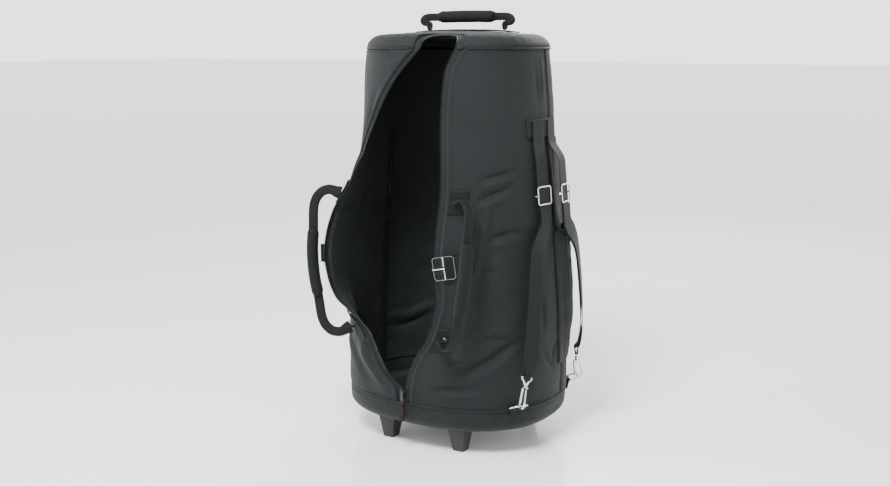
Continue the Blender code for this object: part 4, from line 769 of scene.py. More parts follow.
def look_end(tree, dark, light, share, rough, bump, height, **settings):
    """Links the colour between two, the roughness and the bump, and sets the plain values.

    Colours are in thousandths. bump gives its strength and its depth in mm.
    """
    shader = tree.nodes["Principled BSDF"]
    mix = add(tree, "ShaderNodeMix", data_type="RGBA")
    for slot, colour in ((6, dark), (7, light)):
        mix.inputs[slot].default_value = (*(c / 1000 for c in colour), 1.0)
    relief_node = add(tree, "ShaderNodeBump", Strength=bump[0], Distance=bump[1] / 1000)
    for out, into in (
        (share, mix.inputs[0]), (mix.outputs[2], shader.inputs["Base Color"]),
        (rough, shader.inputs["Roughness"]), (height, relief_node.inputs["Height"]),
        (relief_node.outputs[0], shader.inputs["Normal"]),
    ):
        link(tree, out, into)
    for key, value in settings.items():
        shader.inputs[key.replace("_", " ")].default_value = value


def cloth_look(name, slot, colour, pattern, count, depth, roughness, sheen):
    """A cloth: its woven pattern from the UV map, its fading from the place on the object."""
    made, tree, shade, grain = look_start(name, 9.0)
    woven = add(tree, "ShaderNodeGroup", node_tree=pattern)
    woven.inputs[1].default_value = count
    link(tree, add(tree, "ShaderNodeUVMap", uv_map="cloth").outputs[0], woven.inputs[0])
    # the pattern's Shade is painted shade between threads; the marks' Shade is uneven fading
    mixed = maths(tree, "MULTIPLY", shade, woven.outputs["Shade"])
    mixed = maths(tree, "MULTIPLY", mixed, maths(tree, "MULTIPLY_ADD", grain, 0.24, 0.88))
    look_end(
        tree, (0.0, 0.0, 0.0), [c * 1.35 for c in colour], maths(tree, "MULTIPLY", mixed, 0.8),
        maths(tree, "MULTIPLY_ADD", shade, 0.16, roughness - 0.16), (0.55, depth),
        maths(tree, "MULTIPLY_ADD", grain, 0.9, woven.outputs["Height"]),
        Specular_IOR_Level=0.14, Sheen_Weight=sheen, Sheen_Roughness=0.45,
        Sheen_Tint=(0.75, 0.8, 0.82, 1.0),
    )
    return made, slot


def hard_look(name, slot, colour, roughness, metallic=0.0, depth=0.08, size=60.0, uneven=0.1,
              coat=0.0):
    """Metal, plastic or rubber with fine unevenness in its gloss and surface."""
    made, tree, shade, grain = look_start(name, size)
    look_end(
        tree, [c * 0.72 for c in colour], colour, shade,
        maths(tree, "MULTIPLY_ADD", grain, uneven, roughness), (0.35, depth), grain,
        Metallic=metallic, Coat_Weight=coat,
    )
    return made, slot


SHELL = cloth_look("shell_nylon", "shell_fabric", (7.2, 8.8, 9.4), WEAVE, 2400, 0.3, 0.6, 0.05)
BOOT_CLOTH = cloth_look("boot_nylon", "shell_fabric", (7, 8.6, 9.2), WEAVE, 2200, 0.3, 0.58, 0.05)
LINING = cloth_look("lining", "shell_fabric", (15, 17.5, 18), WEAVE, 1700, 0.3, 0.66, 0.03)
BOARD_CLOTH = cloth_look("board_cover", "board", (8, 8.5, 9), WEAVE, 1200, 0.4, 0.75, 0.03)
BINDING = cloth_look("binding", "piping", (8, 9, 9.4), RIBS, 900, 0.3, 0.62, 0.04)
PIPE_CLOTH = cloth_look("piping_cloth", "piping", (6.4, 7.9, 8.4), WEAVE, 1400, 0.3, 0.5, 0.05)
TAPE_CLOTH = cloth_look("zip_tape_cloth", "zip_tape", (6.2, 7.7, 8.3), RIBS, 1100, 0.3, 0.62, 0.04)
WEB = cloth_look("webbing_cloth", "webbing", (3.6, 4.8, 5.2), RIBS, 520, 0.6, 0.55, 0.04)
GRIP = cloth_look("grip_cloth", "grip", (3.4, 4.5, 4.9), WEAVE, 900, 0.6, 0.66, 0.04)
PULL = cloth_look("pull_cloth", "cord", (12.5, 7.5, 7.8), RIBS, 800, 0.4, 0.6, 0.05)
THREAD = cloth_look("thread", "piping", (8.2, 10, 10.6), RIBS, 2500, 0.1, 0.5, 0.05)
COIL = hard_look("zip_coil", "zip_teeth", (7, 7.2, 7.8), 0.3, coat=0.25)
CHROME = hard_look("polished_chrome", "chrome", (600, 610, 630), 0.12, 1.0, 0.02, 40.0, 0.08)
DARK_METAL = hard_look("dark_nickel", "chrome", (55, 56, 58), 0.28, 1.0, 0.03, 60.0, 0.1)
GREY_METAL = hard_look("worn_nickel", "chrome", (150, 155, 160), 0.22, 1.0, 0.03, 60.0, 0.1)
STEEL = hard_look("axle_steel", "chrome", (550, 560, 580), 0.28, 1.0, 0.03, 60.0, 0.12)
FOOT_PLASTIC = hard_look("moulded_plastic", "plastic", (8.5, 9.2, 9.6), 0.4, 0.0, 0.12, 90.0, 0.16)
RUBBER = hard_look("grey_rubber", "rubber", (8.5, 9.2, 9.6), 0.58, 0.0, 0.15, 80.0, 0.14)
TYRE = hard_look("tyre_rubber", "rubber", (18, 18, 19), 0.72, 0.0, 0.15, 90.0, 0.14)


# Walls
def make_side_wall(side, name):
    low, high = BOOT_TOP + GAP, RIM - GAP
    spots = {}

    def place(u, v):
        height = low + (high - low) * v
        span = side_section(side, height)[1][-1] - ZIP_REACH - GAP
        from_edge = ZIP_REACH + span * (1 - u if side < 0 else u)
        point = side_skin(side, height, from_edge)[0]
        spots[tuple(round(c, 5) for c in point)] = from_edge - ZIP_REACH
        return point

    shape = grid(100, 190, place, (0.4, SIDE_HEIGHT))
    thing = piece(f"{name}_wall", shape, SHELL, "bag", (f"{name}_panel",), LINING)
    group = thing.vertex_groups.new(name="padding")
    for vert in thing.data.vertices:
        away = spots.get(tuple(round(c, 5) for c in (vert.co - AXIS)), 1.0)
        group.add([vert.index], 0.3 + 0.7 * smooth_step(away, 0.0, 0.014), "REPLACE")
    thicken(thing, WALL, lined=True, group="padding")


def make_back_wall():
    low, high = BOOT_TOP + GAP, RIM - GAP
    margin = math.degrees(GAP / 0.2)
    start, turn = SEAM_ANGLE + margin, 360 - 2 * SEAM_ANGLE - 2 * margin
    shape = grid(
        130, 190, lambda u, v: around_skin(start + turn * u, low + (high - low) * v),
        (0.56, SIDE_HEIGHT),
    )
    thing = piece("back_wall", shape, SHELL, "bag", ("back_panel",), LINING)
    thicken(thing, WALL, lined=True)


def cut_mouth(thing):
    """Cuts the round end of the mouth out of the top, open to the front."""
    centre, radius = mouth_centre()
    radius += NOTCH_CLEARANCE
    notch = bmesh.new()
    bmesh.ops.create_cone(
        notch, cap_ends=True, segments=64, radius1=radius, radius2=radius, depth=0.16
    )
    for vert in notch.verts:
        if vert.co.y < 0:
            vert.co.y -= 0.12
            vert.co.x = math.copysign(radius, vert.co.x)
    bmesh.ops.remove_doubles(notch, verts=notch.verts, dist=0.0001)
    bmesh.ops.translate(notch, vec=centre.to_3d() + UP * RIM + AXIS, verts=notch.verts)
    mesh = bpy.data.meshes.new("notch")
    notch.to_mesh(mesh)
    notch.free()
    cutter = bpy.data.objects.new("notch", mesh)
    COLLECTION.objects.link(cutter)
    cut = thing.modifiers.new("mouth", "BOOLEAN")
    cut.operation = "DIFFERENCE"
    cut.object = cutter
    cut.solver = "MANIFOLD"
    bpy.context.view_layer.update()
    shown = thing.evaluated_get(bpy.context.evaluated_depsgraph_get())
    old, thing.data = thing.data, bpy.data.meshes.new_from_object(shown)
    thing.modifiers.clear()
    bpy.data.meshes.remove(old)
    bpy.data.objects.remove(cutter, do_unlink=True)


def make_top():
    size = plan_size(RIM)
    start = math.asin((GAP / CROWN_HEIGHT) ** (CROWN_SQUARENESS / 2))

    def place(u, v):
        if v >= 1.0:
            return Vector((0, 0, RIM + CROWN_HEIGHT + crown_relief(0, 0)))
        turn = start + (math.pi / 2 - start) * v ** 1.25
        scale = math.cos(turn) ** (2 / CROWN_SQUARENESS)
        rise = CROWN_HEIGHT * math.sin(turn) ** (2 / CROWN_SQUARENESS)
        point = (plan_point(360 * u, size) * scale).to_3d()
        lift = crown_relief(point.x, point.y) - SEAM_DIP * math.exp(-(rise / SEAM_WIDTH) ** 2)
        way = point.normalized() * scale ** 6 + UP * (1 - scale ** 8)
        return point + UP * (RIM + rise) + way * lift

    shape = grid(200, 34, place, (1.2, 0.22), join=True)
    uv_from_above(shape)
    thing = piece("top_cloth", shape, SHELL, "bag", ("top_panel",), LINING)
    thicken(thing, WALL, lined=True)
    cut_mouth(thing)


def boot_skin(direction, height, standoff=0.0):
    """A point on the boot, whose strip is joined at its seam."""
    away = (direction - BOOT_SEAM) * DEGREE
    return around_skin(direction, height, standoff - 0.0012 * math.exp(-(away / 0.003) ** 2))


def make_boot():
    side_low = BASE_HEIGHT + CORNER_RADIUS

    def place(u, v):
        direction = 360 * u
        if v >= BOOT_CORNER_SHARE:
            t = (v - BOOT_CORNER_SHARE) / (1 - BOOT_CORNER_SHARE)
            return boot_skin(direction, side_low + (BOOT_TOP - GAP - side_low) * t)
        t = v / BOOT_CORNER_SHARE
        turn = math.pi / 2 * t
        height = BASE_HEIGHT + CORNER_RADIUS * (1 - math.cos(turn))
        size = plan_size(height)
        inset = CORNER_RADIUS * (1 - math.sin(turn))
        point = plan_point(plan_direction(direction, size), size, inset).to_3d()
        sag = noise.noise(Vector((point.x * 20, point.y * 20, 5))) * 0.0012
        full = wall(direction, height)
        rise = relief(full, direction, height, ())
        return point + UP * (height + sag * (1 - t)) + full.xy.normalized().to_3d() * rise * t

    shape = grid(260, 34, place, (1.3, 0.08), join=True)
    rim = [e for e in shape.edges if e.is_boundary and e.verts[0].co.z < BASE_HEIGHT + 0.005]
    bmesh.ops.holes_fill(shape, edges=rim, sides=0)
    under = max(shape.faces, key=lambda f: len(f.verts))
    bmesh.ops.inset_region(shape, faces=[under], thickness=0.02)
    thing = piece("boot_cloth", shape, BOOT_CLOTH, "bag", ("boot",), LINING)
    thicken(thing, WALL, lined=True)


def make_base_board():
    size = plan_size(BASE_HEIGHT + WALL)
    inset = CORNER_RADIUS + 0.003

    def place(u, v):
        point = (plan_point(360 * u, size, inset) * (1 - v)).to_3d()
        if v == 0:
            return point + UP * (BOARD_TOP - 0.0045)
        quilt = math.cos(point.x * QUILT) * math.cos(point.y * QUILT)
        edge = smooth_step(1 - v, 0.96, 1.0)
        return point + UP * (BOARD_TOP - 0.0016 * edge + 0.0006 * quilt)

    shape = grid(120, 40, place, join=True)
    uv_from_above(shape)
    thicken(piece("board_cover", shape, BOARD_CLOTH, "bag", ("base_board",)), 0.003)


def make_piping():
    def ring_line(height):
        size, inside = plan_size(height), CORD_RADIUS * 0.4
        return [plan_point(1.5 * i, size, inside).to_3d() + UP * height for i in range(240)]

    shapes = [rod(ring_line(BOOT_TOP), UP, CORD_RADIUS, 10, closed=True)]
    for side in (-1, 1):
        line = [
            wall(side * SEAM_ANGLE, height, -CORD_RADIUS * 0.7)
            for height in between(BOOT_TOP, RIM - 0.0024, 60)
        ]
        shapes.append(rod(line, Vector((0, 1, 0)), CORD_RADIUS, 10))
    piece("seam_cord", merge(shapes), PIPE_CLOTH, "bag", ("seam_piping",))
    centre, radius = mouth_centre()
    clear = radius + NOTCH_CLEARANCE + CORD_RADIUS
    line = ring_line(RIM)
    start = next(i for i, p in enumerate(line) if p.x - centre.x >= clear)
    end = max(i for i, p in enumerate(line) if p.y > 0 or centre.x - p.x >= clear)
    rim = rod(line[start:end + 1], UP, CORD_RADIUS, 10)
    piece("rim_cord", rim, PIPE_CLOTH, "bag", ("rim_piping",))


def make_wall_stitches():
    """Rows of thread beside the seams and the zip."""
    lift, beside = 0.0003, 0.0062
    heights = [BOOT_TOP + 0.006 * i for i in range(1, int((SIDE_HEIGHT - 0.012) / 0.006) + 2)]
    lines = [
        [side_skin(side, h, ZIP_REACH + away, lift)[0] for h in heights]
        for side in (-1, 1) for away in (0.0035, 0.0075)
    ]
    for seam in (SEAM_ANGLE, -SEAM_ANGLE):
        for away in (-1.9, 1.9):
            lines.append([around_skin(seam + away, h, lift) for h in heights])
    for height in (RIM - beside, BOOT_TOP + beside):
        for low, high in ((-SEAM_ANGLE + 2, -24), (33, 358 - SEAM_ANGLE)):
            run = between(low, high, int((high - low) / 2))
            lines.append([around_skin(direction, height, lift) for direction in run])
    lines.append([around_skin(2.0 * i, BOOT_TOP - beside, lift) for i in range(181)])
    for away in (-1.3, 1.3):
        lines.append([
            boot_skin(BOOT_SEAM + away, BOOT_TOP - 0.003 * i, lift) for i in range(1, 9)
        ])
    stitches("seam_thread", lines, "bag")


# Zip
def edge_lines(side):
    """Sewn line and free line of a zip tape, from the boot over the rim to the mouth's end."""
    sewn, free = [], []
    for i in range(151):
        height = BOOT_TOP + 0.0024 + (SIDE_HEIGHT - 0.0048) * i / 150
        point, outward, to_edge, _ = on_side(side, height, ZIP_REACH)
        point -= outward * ZIP_DEPTH
        sewn.append(point - to_edge * TAPE_UNDER_CLOTH)
        free.append(point + to_edge * TAPE_WIDTH)
    centre, radius = mouth_centre()
    half_width, half_depth, squareness = plan_size(RIM)
    for line, distance in ((sewn, radius + TAPE_UNDER_CLOTH), (free, radius - TAPE_WIDTH)):
        x = centre.x + side * distance
        front = (1 - abs(x / half_width) ** squareness) ** (1 / squareness)
        front *= half_depth - ZIP_DEPTH
        spots = [Vector((x, (centre.y + front) * share - front)) for share in (0.25, 0.5, 0.75)]
        turn = 90 - math.degrees(MOUTH_END_SLIT)
        spots += arc(centre, Vector((side, 0)), Vector((0, 1)), distance, 0, turn, 16)
        line += [Vector((x, y, crown_height(x, y, ZIP_DEPTH))) for x, y in spots]
    return sewn, free


def make_zip():
    for side, name in ((-1, "left"), (1, "right")):
        sewn, free = edge_lines(side)
        rows = len(sewn) - 1

        def place(u, v, sewn=sewn, free=free, side=side, rows=rows):
            i = round(v * rows)
            return sewn[i].lerp(free[i], u if side < 0 else 1 - u)

        shape = grid(6, rows, place, (TAPE_WIDTH, length_of(sewn)))
        tape = piece(f"{name}_tape_cloth", shape, TAPE_CLOTH, "bag", (f"zip_tape_{name}",))
        thicken(tape, TAPE_THICKNESS, 0.0)
        onward = [(b - a).normalized() for a, b in zip(sewn, free)]
        line = [b + way * (COIL_RADIUS + GAP) for b, way in zip(free, onward)]
        size = Matrix.Diagonal((COIL_RADIUS * 1.25, TOOTH_PITCH * 0.36, COIL_RADIUS, 1.0))
        coil = bmesh.new()
        for spot, way in spaced(line, TOOTH_PITCH):
            out = onward[min(range(len(line)), key=lambda i: (line[i] - spot).length)]
            turn = Matrix((out, way, way.cross(out).normalized())).transposed().to_4x4()
            bmesh.ops.create_icosphere(
                coil, subdivisions=1, radius=1.0, matrix=Matrix.Translation(spot) @ turn @ size
            )
        piece(f"{name}_coil", coil, COIL, "bag", (f"zip_teeth_{name}",))
        thread = []
        for i, (a, b) in enumerate(zip(sewn, free)):
            along = line[min(i + 1, rows)] - line[max(i - 1, 0)]
            out = along.cross(b - a).normalized()
            radial = Vector((a.x, a.y, max(0.0, a.z - RIM) * 6))
            lift = 0.0007 if out.dot(radial) > 0 else -0.0007
            thread.append(a.lerp(b, 0.8) + out * lift)
        stitches(f"{name}_tape_thread", [thread], "bag", 0.003, 0.002, 0.0003)


def make_pull():
    """The cloth pull, looped through the foot of the tab."""
    low, high = (Vector(corner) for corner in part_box("zip_tab"))
    tab = Vector(((low.x + high.x) / 2, (low.y + high.y) / 2, low.z + 0.0018)) - AXIS
    forward, loop, foot = Vector((0, -1, 0)), 0.002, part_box("zip_pull")[0][2]
    path = arc(tab - UP * 0.0009, forward, UP, loop, 0, 180, 12)
    front = Vector((tab.x, tab.y - loop, foot))
    back = Vector((tab.x, tab.y + loop, foot + 0.002))
    line = smooth_line([
        front, front.lerp(path[0], 0.35) + forward * 0.0006, front.lerp(path[0], 0.75), *path,
        back.lerp(path[-1], 0.75), back.lerp(path[-1], 0.35), back,
    ], 3)
    width = [0.0019 + 0.0035 * smooth_step(tab.z - point.z, 0.0015, 0.01) for point in line]
    strip = sweep(line, Vector((1, 0, 0)), width, 0.00065, 14, 5.0)
    piece("pull_strip", strip, PULL, "zip_pull", ("zip_pull",))


# Handles
def band(points, across, width, thickness, steps=1):
    """Webbing along points, made finer by steps."""
    across, width = each(across, len(points)), each(width, len(points))
    if steps > 1:
        across = smooth_line(across, steps)
        width = stretch(width, steps)
        points = smooth_line(points, steps)
    return sweep(points, across, [w / 2 for w in width], thickness / 2, 20, 6.0)


def make_handle(name, low, high, out, leg, grip_length, grip_rise, grip_bow, face=None):
    """Legs of folded webbing and a wrapped grip. face gives half the width of legs that are
    turned, so that they show it from the side: at their ends and beyond."""
    along = (high - low).normalized()
    out = (out - along * out.dot(along)).normalized()
    across = along.cross(out)
    half = (high - low).length / 2
    middle = (low + high) / 2
    grip_half = grip_length / 2
    corners = [(-half - past, rise) for past, rise in leg]
    corners += [(s * grip_half, grip_rise + grip_bow * (1 - s * s)) for s in (-1, -0.5, 0, 0.5, 1)]
    corners += [(half + past, rise) for past, rise in reversed(leg)]
    path = smooth_line([middle + along * position + out * rise for position, rise in corners], 8)
    if face:
        turned = [way.cross(across) for way in directions_along(path)]
        ends = [min(length_of(path[:i + 1]), length_of(path[i:])) for i in range(len(path))]
        wide = [face[0] + (face[1] - face[0]) * smooth_step(e, 0.0, 0.022) for e in ends]
        shapes = [sweep(path, turned, wide, FOLDED_THICKNESS * 0.75, 20, 3.2)]
    else:
        shapes = [sweep(path, across, FOLDED_WEBBING / 2, FOLDED_THICKNESS / 2, 20, 4.0)]
    for end in (low, high):
        knuckle = [end - along * (FOLDED_THICKNESS / 2) * s for s in (1, -1)]
        shapes.append(rod(knuckle, across, FOLDED_WEBBING / 2, 24))
    piece(f"{name}_web", merge(shapes), WEB, name, (f"{name}_webbing",))

    core = [p for p in path if abs((p - middle).dot(along)) <= grip_half + 0.0005]
    wide, deep = [], []
    for i, point in enumerate(core):
        end = min(i, len(core) - 1 - i) / (len(core) - 1) * grip_length
        swell = 0.8 + 0.2 * smooth_step(end, 0.0, 0.01)
        swell += 0.05 * math.exp(-((end - 0.008) / 0.0022) ** 2)
        wave = 0.02 * noise.noise(point * 60.0)
        wide.append(GRIP_RADIUS * 1.02 * (swell + wave))
        deep.append(GRIP_RADIUS * 0.98 * (swell - wave))
    piece(f"{name}_wrap", sweep(core, across, wide, deep, 32, 2.3), GRIP, name, (f"{name}_grip",))

    seam = [
        [p - out * (GRIP_RADIUS * 1.005) + across * off for p in core[3:-3]]
        for off in (-0.0018, 0.0018)
    ]
    turns = [2 * math.pi * i / 24 for i in range(25)]
    for position in (HEM_FROM_END - grip_half, grip_half - HEM_FROM_END):
        spot = min(core, key=lambda p: abs((p - middle).dot(along) - position))
        seam.append([
            spot + across * math.cos(a) * GRIP_RADIUS * 1.035 + out * math.sin(a) * GRIP_RADIUS
            for a in turns
        ])
    stitches(f"{name}_thread", seam, name, 0.0036, 0.0026)


def make_anchor(name, spot_at, node, seat=SEAT):
    """A sewn square of webbing, with a box and a cross of thread. spot_at(u, v) is on the bag."""
    spots = [[spot_at(i / 14, j / 16) for i in range(15)] for j in range(17)]
    patch(name, spots, ANCHOR_THICKNESS, WEB, (node,), seat)
    corners = (0.09, 0.08), (0.91, 0.08), (0.91, 0.92), (0.09, 0.92)
    a, b, c, d = (Vector(corner) for corner in corners)
    rows = []
    for start, end in ((a, b), (b, c), (c, d), (d, a), (a, c), (b, d)):
        ends = [spot_at(*start.lerp(end, t / 10)) for t in range(11)]
        rows.append([point + normal * (seat + ANCHOR_THICKNESS + 0.0002) for point, normal in ends])
    stitches(f"{name}_thread", rows, "bag", 0.0034, 0.0026, 0.0004)


TOP_LEG = ((0.0, 0.0), (0.003, 0.0045), (0.012, 0.007), (0.015, 0.0115), (0.006, 0.017))
CARRY_LEG = ((0.0, 0.0), (0.003, 0.008), (0.009, 0.023), (0.003, 0.042), (-0.02, 0.056))
TOP_HANDLE_HALF = 0.088
TOP_HANDLE_Y = 0.033
CARRY_LOW, CARRY_HIGH = 0.236, 0.503
CARRY_FROM_ZIP = 0.038
HEM_FROM_END = 0.0125  # of the grip's wrap


def joint_line(name):
    """A joint's place and the way of its axis."""
    joint = next(j for j in frame["record"]["behaviour"]["joints"] if j["name"] == name)
    return Vector(joint["pos_m"]) - AXIS, Vector(joint["axis"]).normalized()


def make_handles():
    start, way = joint_line("top_handle_swing")
    reach = TOP_HANDLE_HALF + ANCHOR_LENGTH / 2
    make_anchor(
        "top_handle_patch",
        lambda u, v: crown_spot(reach * (2 * u - 1), TOP_HANDLE_Y + WEBBING * (v - 0.5)),
        "top_handle_base",
    )
    end = start + way * (2 * TOP_HANDLE_HALF)
    make_handle("top_handle", start, end, UP, TOP_LEG, 0.128, 0.0178, 0.001, (0.005, 0.0078))
    for side, name, turn, seat, face in (
        (-1, "left", 211.0, 0.0018, (0.013, 0.0098)), (1, "right", -34.0, SEAT, None),
    ):
        for end, middle in (("low", CARRY_LOW), ("high", CARRY_HIGH)):
            make_anchor(
                f"{name}_handle_patch_{end}",
                lambda u, v: side_spot(
                    side, middle + ANCHOR_LENGTH * (v - 0.5), CARRY_FROM_ZIP + WEBBING * (u - 0.5)
                ),
                f"{name}_handle_base_{end}", seat,
            )
        start, way = joint_line(f"{name}_handle_swing")
        last = start + way * ((CARRY_HIGH - CARRY_LOW) / way.z)
        out = Vector((math.cos(math.radians(turn)), math.sin(math.radians(turn)), 0))
        make_handle(f"{name}_handle", start, last, out, CARRY_LEG, 0.137, 0.061, 0.006, face)
    make_rivet("right_handle_rivet", *side_spot(1, CARRY_LOW + 0.003, 0.04))


# Metal bars
def make_rivet(name, point, normal):
    """A domed rivet through a sewn patch."""
    shape = bmesh.new()
    bmesh.ops.create_uvsphere(shape, u_segments=24, v_segments=12, radius=0.0036)
    bmesh.ops.scale(shape, vec=(1, 1, 0.45), verts=shape.verts)
    seat = point + normal * (SEAT + ANCHOR_THICKNESS)
    turn = normal.to_track_quat("Z", "Y").to_matrix().to_4x4()
    bmesh.ops.transform(shape, matrix=Matrix.Translation(seat) @ turn, verts=shape.verts)
    piece(name, shape, GREY_METAL, "bag")


# Closing strap
CLOSURE_HEIGHT = 0.378
CLOSURE_RISE = 0.012
CLOSURE_NEAR = 24.0
CLOSURE_FAR = 44.0
BUCKLE_LENGTH = 0.042
BUCKLE_HEIGHT = 0.0435
BUCKLE_WIRE = 0.0019
BUCKLE_STANDOFF = 0.0088
PRONG_WIRE = 0.0015


def at(place, x, y, z):
    origin, ax, ay, az = place
    return origin + ax * x + ay * y + az * z


def wall_spot(direction, height):
    here, _, sideways = wall_frame(direction, height)
    return here, sideways.cross(wall(direction, height + SPOT_STEP) - here).normalized()


def closure_spot(direction, standoff):
    """A point of the closing strap's course over the wall and the wall's normal."""
    share = (direction - CLOSURE_NEAR) / (CLOSURE_FAR - CLOSURE_NEAR)
    point, normal = wall_spot(direction, CLOSURE_HEIGHT + CLOSURE_RISE * share)
    return point + normal * standoff, normal


def rim_line(place, width, length, corner, rise=0.0):
    """A rounded rectangle about a place, for a bent wire."""
    line = []
    for number, (sx, sy) in enumerate(((1, 1), (-1, 1), (-1, -1), (1, -1))):
        middle = at(place, sx * (width / 2 - corner), sy * (length / 2 - corner), rise)
        line += arc(middle, place[1], place[2], corner, 90 * number, 90, 5)
    return smooth_loop(line, 2)


def make_closing_strap():
    """The strap's right half: webbing round the buckle's bar, the buckle and its prong."""
    origin, outward = closure_spot(CLOSURE_NEAR, BUCKLE_STANDOFF)
    along = closure_spot(CLOSURE_NEAR + 2, BUCKLE_STANDOFF)[0] - origin
    along = (along - outward * along.dot(outward)).normalized()
    place = (origin, along, outward.cross(along), outward)
    loop = BUCKLE_WIRE + GAP + WEBBING_THICKNESS / 2
    under = SEAT + WEBBING_THICKNESS / 2 + 0.0012
    over = under + WEBBING_THICKNESS + GAP
    degree = (closure_spot(CLOSURE_NEAR + 10, 0)[0] - closure_spot(CLOSURE_NEAR, 0)[0]).length / 10

    def lying(distance, standoff):
        return closure_spot(CLOSURE_NEAR + distance / degree, standoff)[0]

    reach = (CLOSURE_FAR - CLOSURE_NEAR) * degree
    line = [lying(reach * share, under) for share in (1.0, 0.8, 0.6, 0.4)]
    line += [lying(0.012, under + 0.0006), at(place, 0.005, 0, -loop)]
    line += arc(origin, along, outward, loop, -90, -180, 12)
    line += [at(place, 0.003, 0, loop), at(place, 0.011, 0, -0.0012),
             lying(BUCKLE_LENGTH / 2 - 0.003, over), lying(0.036, over)]
    web = band(line, place[2], WEBBING, WEBBING_THICKNESS, 3)
    piece("closing_web", web, WEB, "bag", ("closing_strap",))
    above = over + WEBBING_THICKNESS / 2 + 0.0002
    rows = [
        [lying(x, above) + place[2] * (0.008 * i) for i in range(-2, 3)] for x in (0.029, 0.0325)
    ]
    stitches("closing_thread", rows, "bag", 0.0032, 0.0024, 0.0004)

    rim = rim_line(place, BUCKLE_LENGTH, BUCKLE_HEIGHT, 0.006)
    rim = sweep(rim, outward, BUCKLE_WIRE * 0.6, BUCKLE_WIRE * 0.5, 14, 3.0, closed=True)
    piece("buckle_rim", rim, GREY_METAL, "buckle_frame", ("buckle_frame",))
    high = loop + WEBBING_THICKNESS / 2 + 0.0005
    half = BUCKLE_HEIGHT / 2
    bars = [rod([at(place, 0, y, 0) for y in (-half, 0, half)], outward, BUCKLE_WIRE)]
    keeper = ((half, 0), (half - 0.0004, high * 0.7), (0.0175, high), (0.01, high),
              (0.005, high), (0.0042, high - 0.0012))
    for sense in (-1, 1):
        line = [at(place, 0.0012, sense * y, z) for y, z in keeper]
        bars.append(sweep(smooth_line(line, 3), along, 0.0012, 0.0011, 12))
    piece("buckle_bar", merge(bars), CHROME, "buckle_frame")

    around = BUCKLE_WIRE + GAP + PRONG_WIRE
    line = arc(origin, along, outward, around, 205, 245, 14)
    line += [at(place, -BUCKLE_LENGTH / 4, 0, around + 0.0004),
             at(place, -BUCKLE_LENGTH / 2 - 0.0015, 0, around)]
    prong = rod(smooth_line(line, 2), place[2], PRONG_WIRE)
    piece("prong_bar", prong, CHROME, "buckle_prong", ("buckle_prong",))


def make_tongue():
    """The strap's left half, which lies on the wall and ends free."""
    points = []
    for from_edge in between(0.1, 0.05, 4):
        point, normal = side_spot(-1, CLOSURE_HEIGHT, from_edge)
        points.append(point + normal * (SEAT + 0.0008 + WEBBING_THICKNESS / 2))
    onward = (points[-1] - points[-2]).normalized()
    points += [
        points[-1] + normal * 0.021 * share + onward * forward
        for share, forward in ((0.2, 0.005), (0.55, 0.0075), (1.0, 0.0085))
    ]
    low, high = (side_spot(-1, CLOSURE_HEIGHT + rise, 0.05)[0] for rise in (-0.01, 0.01))
    web = band(points, high - low, WEBBING, WEBBING_THICKNESS, 4)
    piece("tongue_web", web, WEB, "bag", ("closing_strap_end",))


# Backpack straps
YOKE_HEIGHT = 0.166
YOKE_STANDOFF = 0.02
YOKE_WIDTH = 0.022
YOKE_LENGTH = 0.013
YOKE_WIRE = 0.0017
COLLAR_RADIUS = 0.0042
COLLAR_LENGTH = 0.005
STRAP_WIDTH = 0.038
STRAP_THICKNESS = 0.0018
STRAP_END_WIDTH = 0.0155
BAND_LOW = 0.62
BAND_HEIGHT = 0.034
BAND_THICKNESS = 0.0024
STRAIGHT_LOW = 0.45
STRAIGHT_HIGH = 0.57
SLIDE_HEIGHT = 0.508
SLIDE_LENGTH = 0.034
SLIDE_WIRE = 0.0018
RING_HALF_WIDTH = 0.019
RING_REACH = 0.024
RING_WIRE = 0.0018
RING_HEIGHT = 0.104
RING_STANDOFF = 0.0068
RING_ANGLE = 29.5  # round from the middle of the right side, in degrees
RING_TAB_THICKNESS = 0.0016
RING_TAB_WIDTH = 0.026
HOOK_WIRE = 0.0023
HOOK_HALF_WIDTH = 0.0072
LUG_RADIUS = 0.0022
GATE_WIRE = 0.0015
STANDOFF = {"front": 0.0085, "rear": 0.024}
BOW = {"front": 0.014, "rear": 0.031}
STRAP_COURSE = ((0.4, 18.0, 0.8), (0.31, 20.4, 1.0), (0.23, 23.0, 0.8), (0.19, 24.6, 0.25))


def strap_direction(which, angle):
    return 90 - angle if which == "front" else 90 + angle


def facing(point):
    direction = math.degrees(math.atan2(point.x, -point.y))
    return wall_frame(direction, point.z)[1]


def across_line(points):
    ways = directions_along(points)
    return [way.cross(facing(point)).normalized() for way, point in zip(ways, points)]


def ring_frame(which):
    origin, outward, sideways = wall_frame(
        strap_direction(which, RING_ANGLE), RING_HEIGHT, RING_STANDOFF
    )
    lift = math.radians(24.0)
    bow = outward * math.cos(lift) + UP * math.sin(lift)
    return origin, sideways, bow.cross(sideways), bow


def yoke_frame(which):
    top, outward, _ = wall_frame(strap_direction(which, 26.3), YOKE_HEIGHT, YOKE_STANDOFF)
    ring_origin, _, _, ring_out = ring_frame(which)
    up = (top - (ring_origin + ring_out * RING_REACH)).normalized()
    out = (outward - up * outward.dot(up)).normalized()
    return top, up.cross(out), up, out


